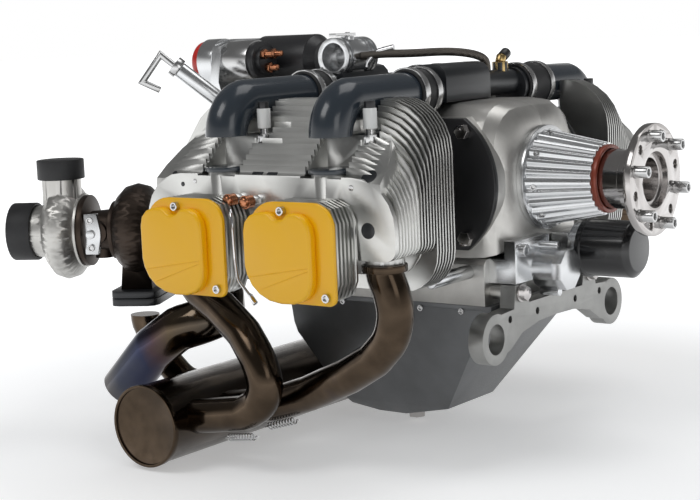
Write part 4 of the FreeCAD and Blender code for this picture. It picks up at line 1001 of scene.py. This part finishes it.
@dataclass
class HeadGroup(SubAssembly):
    """Finned heads with plugs, caps and the yellow rocker covers.

    Attributes:
        cover_half: half the cover's width and height.
        lip: the thickness of the cover's flange.
        lip_radii: the flange's corner radii at +X +Z, -X +Z, -X -Z and +X -Z.
        dome: the height of the cover's dome.
        overlap: how far the dome sinks into the flange.
        dome_outline: the dome's outline round the cover's middle, in millimetres.
        creases: the ends of the two faint ridges across the dome, in millimetres.
        oil_ports: the X and Z of the oil lines' nuts, in millimetres.
    """

    cover_half: tuple[float, float] = (0.056, 0.053)
    lip: float = 0.005
    lip_radii: tuple[float, ...] = (0.026, 0.034, 0.050, 0.009)
    dome: float = 0.0108
    overlap: float = 0.0005
    dome_outline: tuple[tuple[float, float], ...] = (
        (-59.5, 22), (-59.5, -14), (-57, -24), (-51, -35), (-41, -44), (-28, -50), (-12, -52.5), (4, -52.0),
        (17, -48), (25, -41), (29, -32), (30, -22), (30, 20), (28, 30), (22, 38), (14, 42), (4, 42.5),
        (-1, 41), (-6, 36.5), (-12, 35), (-18, 36.5), (-23, 41), (-28, 42.5), (-40, 42.5), (-50, 39),
        (-57, 32),
    )
    creases: tuple[tuple[Point, Point], ...] = (((-52, 0, -26), (26, 0, -13)), ((-39, 0, -39), (26, 0, -16)))
    oil_ports: tuple[tuple[float, float], ...] = ((-354.0, 0.0), (-330.0, -1.0))

    def cover(self, centre: Vector, back: float) -> list[Any]:
        """A rocker cover with its screws, on the near bank.

        Args:
            centre: the middle of the cover's face.
            back: the Y of the joint with the rocker box.

        Returns:
            The yellow shell and its screws.
        """
        width, height = self.cover_half
        middle = (centre.x - 0.004, back, centre.z)
        lip = rounded_plate(middle, width, height, self.lip_radii, self.lip)
        soften(lip, 0.0012, 3, 50.0)
        front = back - self.lip + self.overlap
        dome = outline_plate((centre.x, front, centre.z), self.dome_outline, self.dome + self.overlap)
        soften(dome, 0.0032, 4, 50.0)
        face = front - self.dome - self.overlap
        lines = []
        for start, end in self.creases:
            ends = [(centre.x + x * MM, face + 0.0001, centre.z + z * MM) for x, _, z in (start, end)]
            lines.append(bar(ends[0], ends[1], 0.0005, 8))
        screws = [
            cap_screw((centre.x + x, back - self.lip, centre.z + z), NEAR, 0.0048, rise)
            for x, z, rise in ((0.0415, -0.0440, 0.0042), (-0.0120, 0.0440, 0.0062))
        ]
        return [join([lip, dome, *lines]), join(screws)]

    def plugs(self) -> None:
        """Spark plugs with white caps and the dark leads' ends."""
        self.refine("spark_plugs", BRIGHT, 0.0006)
        self.refine("plug_caps", CERAMIC, 0.0012)
        leads = [bar(at(x, -240, 93.5), at(x, -240, 102), 0.0062, 6, 0.0008) for x in (-355, -210)]
        dress_both_banks(leads, "plug_lead_ends", BLACK_PLASTIC)

    def recess_shade_and_pins(self) -> None:
        """Painted shade of the bolt recesses, as black discs set just proud of the heads' outer faces, and
        small pins in those faces.
        """
        slope = Vector((0.0, -0.66, 0.75))
        face = Vector(NEAR)
        # painted shade: black discs stand where the bolt recesses' shade falls, instead of open holes
        dark = [
            ((-185.5, -279.5, 26.5), slope, 9.0), ((-184.0, -287.0, -28.4), face, 8.5),
            ((-334.9, -278.4, 27.5), slope, 7.5), ((-314.5, -279.1, 26.9), slope, 7.0),
            ((-454.8, -281.0, 25.3), slope, 3.0), ((-437.9, -287.0, 13.8), face, 2.6),
        ]
        bright = [((-203.5, -287.0, 15.5), face, 3.2), ((-419.6, -287.0, 17.6), face, 2.6)]
        # the black discs are the recesses' painted shade; the bright pins are real parts
        for name, finish, marks in (("head_recesses", BLACK_CASTING, dark), ("head_pins", BRIGHT, bright)):
            made = []
            for place, normal, size in marks:
                seat = Vector(at(*place))
                made.append(bar(seat - normal * 0.004, seat + normal * 0.0005, size * MM, 32, 0.0003))
            dress_both_banks(made, name, finish)

    def oil_lines(self) -> None:
        """Domed copper nuts between the covers and the bright tube that leaves them."""
        nuts = []
        for x, z in self.oil_ports:
            nuts.append(bar(at(x, -299, z), at(x, -309, z), 0.0072, 32))
            nuts.append(bar(at(x, -308.9, z), at(x, -313, z), 0.0071, 32, 0.0012, 0.0040))
        stems = [bar(at(x, -286, z), at(x, -300, z), 0.0055, 6, 0.0005) for x, z in self.oil_ports]
        dress_both_banks(nuts, "oil_line_nuts", COPPER)
        route = route_of(
            (-354, -306, -4), (-344, -316, -14), (-340, -319, -30), (-339, -319, -62), (-334, -321, -84),
            (-314, -323, -102),
        )
        tube = routed_tube(route, 0.0019, 0.020, 16)
        ferrule = bar(at(-318, -322.5, -98.5), at(-309, -323.8, -107), 0.0034, 6, 0.0004)
        dress_both_banks([*stems, tube, ferrule], "oil_line_tubes", CHROME)

    def build(self) -> None:
        """Builds the heads, covers and plugs."""
        for number in range(1, 5):
            self.refine(f"head_{number}", FINS, 0.00045, segments=1, limit=40.0)
        middle = self.middle("rocker_cover_1")
        shift = self.middle("rocker_cover_2").x - middle.x
        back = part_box("rocker_cover_1")[1][1]
        shell, screws = self.cover(middle, back)
        shells = [shell, moved(shell, (shift, 0.0, 0.0))]
        shells += [far_copy(piece) for piece in shells[:2]]
        fixings = [screws, moved(screws, (shift, 0.0, 0.0))]
        fixings += [far_copy(piece) for piece in fixings[:2]]
        for number, (cover, fixing) in enumerate(zip(shells, fixings), 1):
            dress_form(cover, f"rocker_cover_{number}", YELLOW)
            dress(fixing, f"rocker_screws_{number}", BRIGHT)
        self.plugs()
        self.recess_shade_and_pins()
        self.oil_lines()


@dataclass
class IntakeGroup(SubAssembly):
    """Elbows, hoses with clamps, manifold, throttle and the sleeved hose.

    Attributes:
        pipe: the elbow's radius and bend radius.
        port: the intake port's Y and Z.
        near_run: the near pipe's height and its end's Y.
        far_run: the far pipe's height and its end's Y.
        hose_radius: the sleeved hose's radius.
        hose_length: its length, not used.
        hose_route: its route in millimetres.
    """

    pipe: tuple[float, float] = (0.0235, 0.052)
    port: tuple[float, float] = (0.266, 0.028)
    near_run: tuple[float, float] = (0.104, 0.114)
    far_run: tuple[float, float] = (0.100, 0.150)
    hose_radius: float = 0.0050
    hose_length: float = 0.170
    hose_route: tuple[Point, ...] = (
        (-358.7, -46, 145), (-350.7, -46, 145), (-334.7, -44, 147), (-300, -30, 146), (-264, -6, 147),
        (-248, 22, 143), (-243, 41, 136.8), (-243, 47, 129.8), (-243, 47, 121.8),
    )

    def elbow(self, x: float, height: float, end: float) -> Any:
        """One elbow on the near bank with its foot collar."""
        radius, bend = self.pipe
        across, seat = self.port
        tube = routed_tube([(x, -across, seat), (x, -across, height), (x, -end, height)], radius, bend, 56)
        collar = bar((x, -across, seat), (x, -across, seat + 0.005), radius + 0.002, 56, 0.0008)
        return join([tube, collar])

    def build(self) -> None:
        """Builds the intake side."""
        front, rear = self.middle("intake_pipe_1").x, self.middle("intake_pipe_2").x
        near = self.elbow(front, *self.near_run)
        far = self.elbow(front, *self.far_run)
        pieces = [near, moved(near, (rear - front, 0.0, 0.0)), far_copy(far)]
        pieces.append(moved(pieces[2], (rear - front, 0.0, 0.0)))
        delete_pieces(far)
        for number, piece in enumerate(pieces, 1):
            dress_form(piece, f"intake_pipe_{number}", GREY_COAT)
        self.refine("intake_manifold", BLACK_CASTING, 0.0025, segments=3, limit=30.0)
        self.refine("rubber_sleeves", RUBBER, 0.0010)
        self.refine("hose_clamps", BRIGHT, 0.0004)
        self.refine("throttle_body", MACHINED, 0.0006)
        self.refine("throttle_valve", BRIGHT, 0.0006, Body.THROTTLE)
        self.hose()
        self.fittings()

    def fittings(self) -> None:
        """The brass fitting with its knob on the manifold and the bright vent tube beside the throttle."""
        fitting = join([
            bar(at(-243, 78, 117), at(-243, 78, 131), 0.0098, 6, 0.0008),
            bar(at(-243, 78, 130), at(-243, 82, 138), 0.0062, 24, 0.0010),
        ])
        dress(fitting, "manifold_fitting", BRASS)
        knob = bar(at(-243, 83, 136), at(-243, 94, 142), 0.0065, 24, 0.0016)
        dress(knob, "manifold_fitting_knob", BLACK_PLASTIC)
        line = route_of((-352, -50, 120), (-350, -48, 138), (-338, -44, 150), (-318, -38, 154))
        vent = routed_tube(line, 0.0036, 0.018, 20)
        dress(vent, "vent_tube", CHROME)

    def hose(self) -> None:
        """The sleeved hose over the manifold, on one smooth line."""
        line = route_of(*self.hose_route)
        deselect()
        bpy.ops.curve.primitive_nurbs_path_add()
        hose = bpy.context.object
        hose.data.splines.clear()
        spline = hose.data.splines.new("NURBS")
        spline.points.add(len(line) - 1)
        for point, place in zip(spline.points, line):
            point.co = (*place, 1.0)
        spline.order_u = 3
        spline.use_endpoint_u = True
        hose.data.bevel_depth = self.hose_radius
        hose.data.bevel_resolution = 5
        hose.data.resolution_u = 10
        hose.data.use_fill_caps = True
        settle(hose)
        hose.name = "vacuum_hose_form"
        hose.data.materials.append(SLEEVE.build())
        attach(hose, Body.ENGINE.value)
        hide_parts("vacuum_hose")


@dataclass
class ExhaustGroup(SubAssembly):
    """Headers, collector drum, riser and the tail pipe.

    Attributes:
        header: the header pipe's radius and bend radius.
        tail: the tail pipe's radius, bend radius and wall.
        riser: the riser's radius and bend radius.
        tail_route: the tail pipe's route in millimetres.
        riser_route: the riser's route in millimetres.
    """

    header: tuple[float, float] = (0.020, 0.052)
    tail: tuple[float, float, float] = (0.027, 0.050, 0.002)
    riser: tuple[float, float] = (0.018, 0.040)
    tail_route: tuple[Point, ...] = (
        (-576.9, -168.7, -57), (-541.3, -150.5, -57), (-530, -153, -76), (-520, -157, -108),
        (-490, -172, -136), (-470, -196, -150), (-478, -222, -156), (-510, -232, -166), (-548, -236, -192),
        (-602, -236, -246),
    )
    riser_route: tuple[Point, ...] = (
        (-609, -185, -146), (-609, -185, -172), (-591, -179, -214), (-560, -172, -246), (-474, -165, -262),
    )

    def headers(self) -> None:
        """The four header pipes with their port flanges."""
        routes = [
            (
                (-183, -262, -66), (-183, -262, -78), (-175, -262, -96), (-170, -262, -119),
                (-177, -262, -146), (-204, -257, -171), (-243, -252, -193), (-306, -243, -221),
                (-360, -238, -240), (-440, -235, -254),
            ),
            (
                (-461, -262, -66), (-461, -262, -78), (-458, -262, -94), (-442, -262, -113),
                (-408, -268, -128), (-364, -280, -152), (-339, -288, -178), (-328, -290, -204),
                (-337, -290, -226), (-362, -290, -240), (-440, -290, -252),
            ),
            (
                (-183, 262, -66), (-183, 262, -80), (-187, 262, -90), (-200, 258, -106),
                (-260, 248, -130), (-340, 238, -170), (-410, 232, -218), (-450, 230, -248),
            ),
            (
                (-461, 262, -66), (-461, 262, -110), (-466, 262, -160), (-471, 262, -230),
            ),
        ]
        radius, bend = self.header
        for number, route in enumerate(routes, 1):
            line = route_of(*route)
            tube = routed_tube(line, radius, bend, 44)
            x, y, z = line[0]
            flange = bar((x, y, z), (x, y, z - 0.008), radius + 0.0045, 48, 0.0010)
            dress_form(join([tube, flange]), f"exhaust_header_{number}", HOT_STEEL)

    def build(self) -> None:
        """Builds the exhaust."""
        self.headers()
        self.refine("exhaust_collector", HOT_STEEL, 0.0015)
        riser = routed_tube(route_of(*self.riser_route), self.riser[0], self.riser[1], 40)
        dress_form(riser, "turbo_riser", HOT_STEEL)
        radius, bend, wall = self.tail
        tail = routed_tube(route_of(*self.tail_route), radius, bend, 56, wall)
        dress_form(tail, "tail_pipe", BLUED)
        springs = [
            spring(at(-380, -297, -268), at(-344, -297, -263), 0.0038, 0.0009, 9),
            spring(at(-362, -249, -264), at(-324, -249, -253), 0.0038, 0.0009, 9),
        ]
        dress(join(springs), "exhaust_springs", BRIGHT)


@dataclass
class TurboGroup(SubAssembly):
    """The turbocharger with its hoses.

    Attributes:
        plate_seat: the oil-feed plate's middle in millimetres.
        plate_outline: its outline round its middle in millimetres.
        plate_thickness: its thickness.
        plate_turn: its turn about the vertical in degrees.
    """

    plate_seat: Point = (-643, -232, -58)
    plate_outline: tuple[tuple[float, float], ...] = (
        (-8, 25), (8, 25), (12, 4), (12, -4), (8, -25), (-8, -25), (-12, -4), (-12, 4),
    )
    plate_thickness: float = 0.009
    plate_turn: float = 27.0

    def build(self) -> None:
        """Builds the turbocharger's pieces."""
        self.refine("turbine_housing", BROWN_IRON, 0.0, angle=58.0)
        self.refine("turbo_flange", BLACK_CASTING, 0.0010)
        self.refine("centre_housing", BROWN_IRON, 0.0008)
        self.refine("compressor_housing", CASTING, 0.0, angle=50.0)
        self.refine("inlet_hose", RUBBER, 0.0010)
        self.refine("outlet_cap", RUBBER, 0.0010)
        self.refine("turbo_rotor", BRIGHT, 0.0, Body.ROTOR)
        self.oil_plate()

    def oil_plate(self) -> None:
        """The oil-feed plate with its two screws and its port, on the centre housing."""
        seat = Vector(at(*self.plate_seat))
        plate = outline_plate(seat, self.plate_outline, self.plate_thickness)
        soften(plate, 0.0010, 2, 40.0)
        front = seat + Vector((0.0, -self.plate_thickness, 0.0))
        rises = (-0.017, 0.017)
        screws = [cap_screw(front + Vector((0.0, 0.0, rise)), NEAR, 0.0042, 0.0035) for rise in rises]
        port = bar(front, front + Vector((0.0, -0.0045, 0.0)), 0.0055, 24, 0.0008)
        plate = turned(join([plate, port]), self.plate_turn, seat)
        dress(plate, "oil_feed_plate", MACHINED)
        dress(turned(join(screws), self.plate_turn, seat), "oil_feed_screws", BRIGHT)


@dataclass
class LowerGroup(SubAssembly):
    """Sump, mount beam, oil pump and filter."""

    def build(self) -> None:
        """Builds the lower front."""
        self.refine("sump", SUMP_COAT, 0.004, segments=3, limit=20.0)
        self.refine("mount_beam", BEAM, 0.0016, segments=3)
        self.refine("oil_pump", MACHINED, 0.0014, segments=3)
        self.refine("filter_adapter", MACHINED, 0.0012)
        self.refine("oil_filter", FILTER, 0.0015, segments=3)
        screws = [cap_screw(at(x, -99.8, -144), NEAR, 0.0036, 0.0032) for x in range(-194, -419, -56)]
        dress_both_banks(screws, "sump_screws", BRIGHT)


@dataclass
class StarterGroup(SubAssembly):
    """Starter bracket, solenoid and motor."""

    def build(self) -> None:
        """Builds the starter."""
        self.refine("starter_bracket", MACHINED, 0.0015)
        self.refine("solenoid", BRIGHT, 0.0008)
        self.refine("solenoid_rear_cap", RED_CAP, 0.0015)
        self.refine("solenoid_terminals", COPPER, 0.0006)
        self.refine("starter_motor", BLACK_PLASTIC, 0.0010)


@dataclass
class DipstickGroup(SubAssembly):
    """Dipstick tube and the dipstick with its hooked strap."""

    def build(self) -> None:
        """Builds the dipstick."""
        self.refine("dipstick_tube", MACHINED, 0.0008)
        self.refine("dipstick", BRIGHT, 0.0008, Body.DIPSTICK)


@dataclass
class Studio:
    """Floor, lamps and camera.

    Attributes:
        azimuth: the camera's turn from the -Y side towards +X, in degrees.
        elevation: its height above the horizon, in degrees.
        roll: its lean, in degrees.
        place: where it stands.
        lens: its focal length in millimetres.
        sensor: its sensor's width in millimetres.
        floor_height: the floor's Z.
        floor_size: the floor's side.
        floor_glow: how much white the floor adds to its lit colour beside the engine.
        glow_start: the distance from the engine where the glow begins to grow, and where it is full.
        world_strength: the strength of the world's light.
        dim_overhead: the brightness of the world overhead in reflections.
        lamps: each lamp's name, place, size and power.
        horizon: the heights, as a direction's Z, between which the white world grows dim.
    """

    azimuth: float = 37.0
    elevation: float = 7.9
    roll: float = 2.4
    place: Point = (0.782, -1.601, 0.179)
    lens: float = 82.3
    sensor: float = 36.0
    floor_height: float = -0.31
    floor_size: float = 60.0
    floor_glow: float = 0.35
    glow_start: tuple[float, float] = (0.5, 1.6)
    world_strength: float = 0.42
    dim_overhead: float = 0.16
    horizon: tuple[float, float] = (0.07, 0.30)
    lamps: tuple[tuple[str, Point, float, float], ...] = (
        ("key_lamp", (-0.9, -2.0, 2.1), 1.2, 16.0),
        ("fill_lamp", (1.9, -1.2, 0.9), 1.0, 5.0),
        ("top_lamp", (0.1, 0.6, 2.2), 1.4, 11.0),
    )

    def camera(self) -> None:
        """Stands the camera at the product view."""
        turn, rise, lean = (math.radians(v) for v in (self.azimuth, self.elevation, self.roll))
        forward = -Vector((math.sin(turn) * math.cos(rise), -math.cos(turn) * math.cos(rise), math.sin(rise)))
        level = Vector((math.cos(turn), math.sin(turn), 0.0))
        above = level.cross(forward)
        right = level * math.cos(lean) - above * math.sin(lean)
        above = above * math.cos(lean) + level * math.sin(lean)
        bpy.ops.object.camera_add(location=self.place)
        camera = bpy.context.object
        rotation = Matrix((right, above, -forward)).transposed().to_4x4()
        camera.matrix_world = Matrix.Translation(self.place) @ rotation
        camera.data.lens = self.lens
        camera.data.sensor_width = self.sensor
        bpy.context.scene.camera = camera

    def lamp(self, name: str, place: Point, aim: Point, size: float, power: float) -> None:
        """A square soft lamp that faces a point."""
        bpy.ops.object.light_add(type="AREA", location=place)
        lamp = bpy.context.object
        lamp.name = name
        lamp.data.size = size
        lamp.data.energy = power
        lamp.rotation_euler = (Vector(aim) - Vector(place)).to_track_quat("-Z", "Y").to_euler()

    @staticmethod
    def seen(shader_nodes: Any, links: Any) -> Any:
        """A socket that is 1 for rays from the camera and for reflected and refracted ones."""
        path = shader_nodes.new("ShaderNodeLightPath")
        total = path.outputs["Is Camera Ray"]
        for name in ("Is Glossy Ray", "Is Transmission Ray"):
            either = shader_nodes.new("ShaderNodeMath")
            either.operation = "MAXIMUM"
            links.new(total, either.inputs[0])
            links.new(path.outputs[name], either.inputs[1])
            total = either.outputs[0]
        return total

    def world(self) -> None:
        """A soft world that is white round the horizon and dim overhead."""
        world = bpy.data.worlds.new("studio")
        bpy.context.scene.world = world
        world.use_nodes = True
        nodes, links = world.node_tree.nodes, world.node_tree.links
        nodes.clear()
        output = nodes.new("ShaderNodeOutputWorld")
        soft, plain = nodes.new("ShaderNodeBackground"), nodes.new("ShaderNodeBackground")
        soft.inputs[0].default_value = (0.94, 0.97, 1.0, 1.0)
        soft.inputs[1].default_value = self.world_strength
        plain.inputs[0].default_value = (1.0, 1.0, 1.0, 1.0)
        source = nodes.new("ShaderNodeTexCoord")
        parts = nodes.new("ShaderNodeSeparateXYZ")
        fade = nodes.new("ShaderNodeMapRange")
        for socket, value in zip(fade.inputs[1:5], (*self.horizon, 1.0, self.dim_overhead)):
            socket.default_value = value
        links.new(source.outputs["Generated"], parts.inputs[0])
        links.new(parts.outputs["Z"], fade.inputs[0])
        links.new(fade.outputs[0], plain.inputs[1])
        mix = nodes.new("ShaderNodeMixShader")
        links.new(self.seen(nodes, links), mix.inputs[0])
        links.new(soft.outputs[0], mix.inputs[1])
        links.new(plain.outputs[0], mix.inputs[2])
        links.new(mix.outputs[0], output.inputs[0])

    def floor(self) -> None:
        """A pale floor that shows white away from the engine, with the engine's shadow on it."""
        bpy.ops.mesh.primitive_plane_add(size=self.floor_size, location=(0.0, 0.0, self.floor_height))
        floor = bpy.context.object
        floor.name = "floor"
        shader = Shader("floor_white")
        shader.set(Base_Color=(0.86, 0.86, 0.86), Roughness=0.9, Specular_IOR_Level=0.0)
        flat = shader.place((1.0, 1.0, 0.0), (0.35, 0.0, 0.0))
        away = shader.add("ShaderNodeVectorMath", {"operation": "LENGTH"}, {0: flat})
        far = Wire(shader, away.outputs["Value"]).span(*self.glow_start, self.floor_glow, 1.0)
        glow = far * Wire(shader, self.seen(shader.nodes, shader.links))
        shader.set(Emission_Color=(1.0, 1.0, 1.0))
        shader.links.new(glow.socket, shader.body.inputs["Emission Strength"])
        floor.data.materials.append(shader.material)

    def build(self) -> None:
        """Sets up the studio."""
        bpy.context.scene.view_settings.view_transform = "Standard"
        self.floor()
        self.world()
        aim = (-0.3, 0.0, 0.0)
        for name, place, size, power in self.lamps:
            self.lamp(name, place, aim, size, power)
        self.camera()


def main() -> None:
    """Builds every sub-assembly and the studio round the frame."""
    logging.basicConfig(level=logging.INFO, format="%(message)s")
    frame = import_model()
    groups = [
        CrankGroup, CaseGroup, CylinderGroup, HeadGroup, IntakeGroup, ExhaustGroup, TurboGroup, LowerGroup,
        StarterGroup, DipstickGroup,
    ]
    for group in groups:
        group(frame).build()
        LOG.info("built %s", group.__name__)
    Studio().build()


if __name__ == "__main__":
    main()
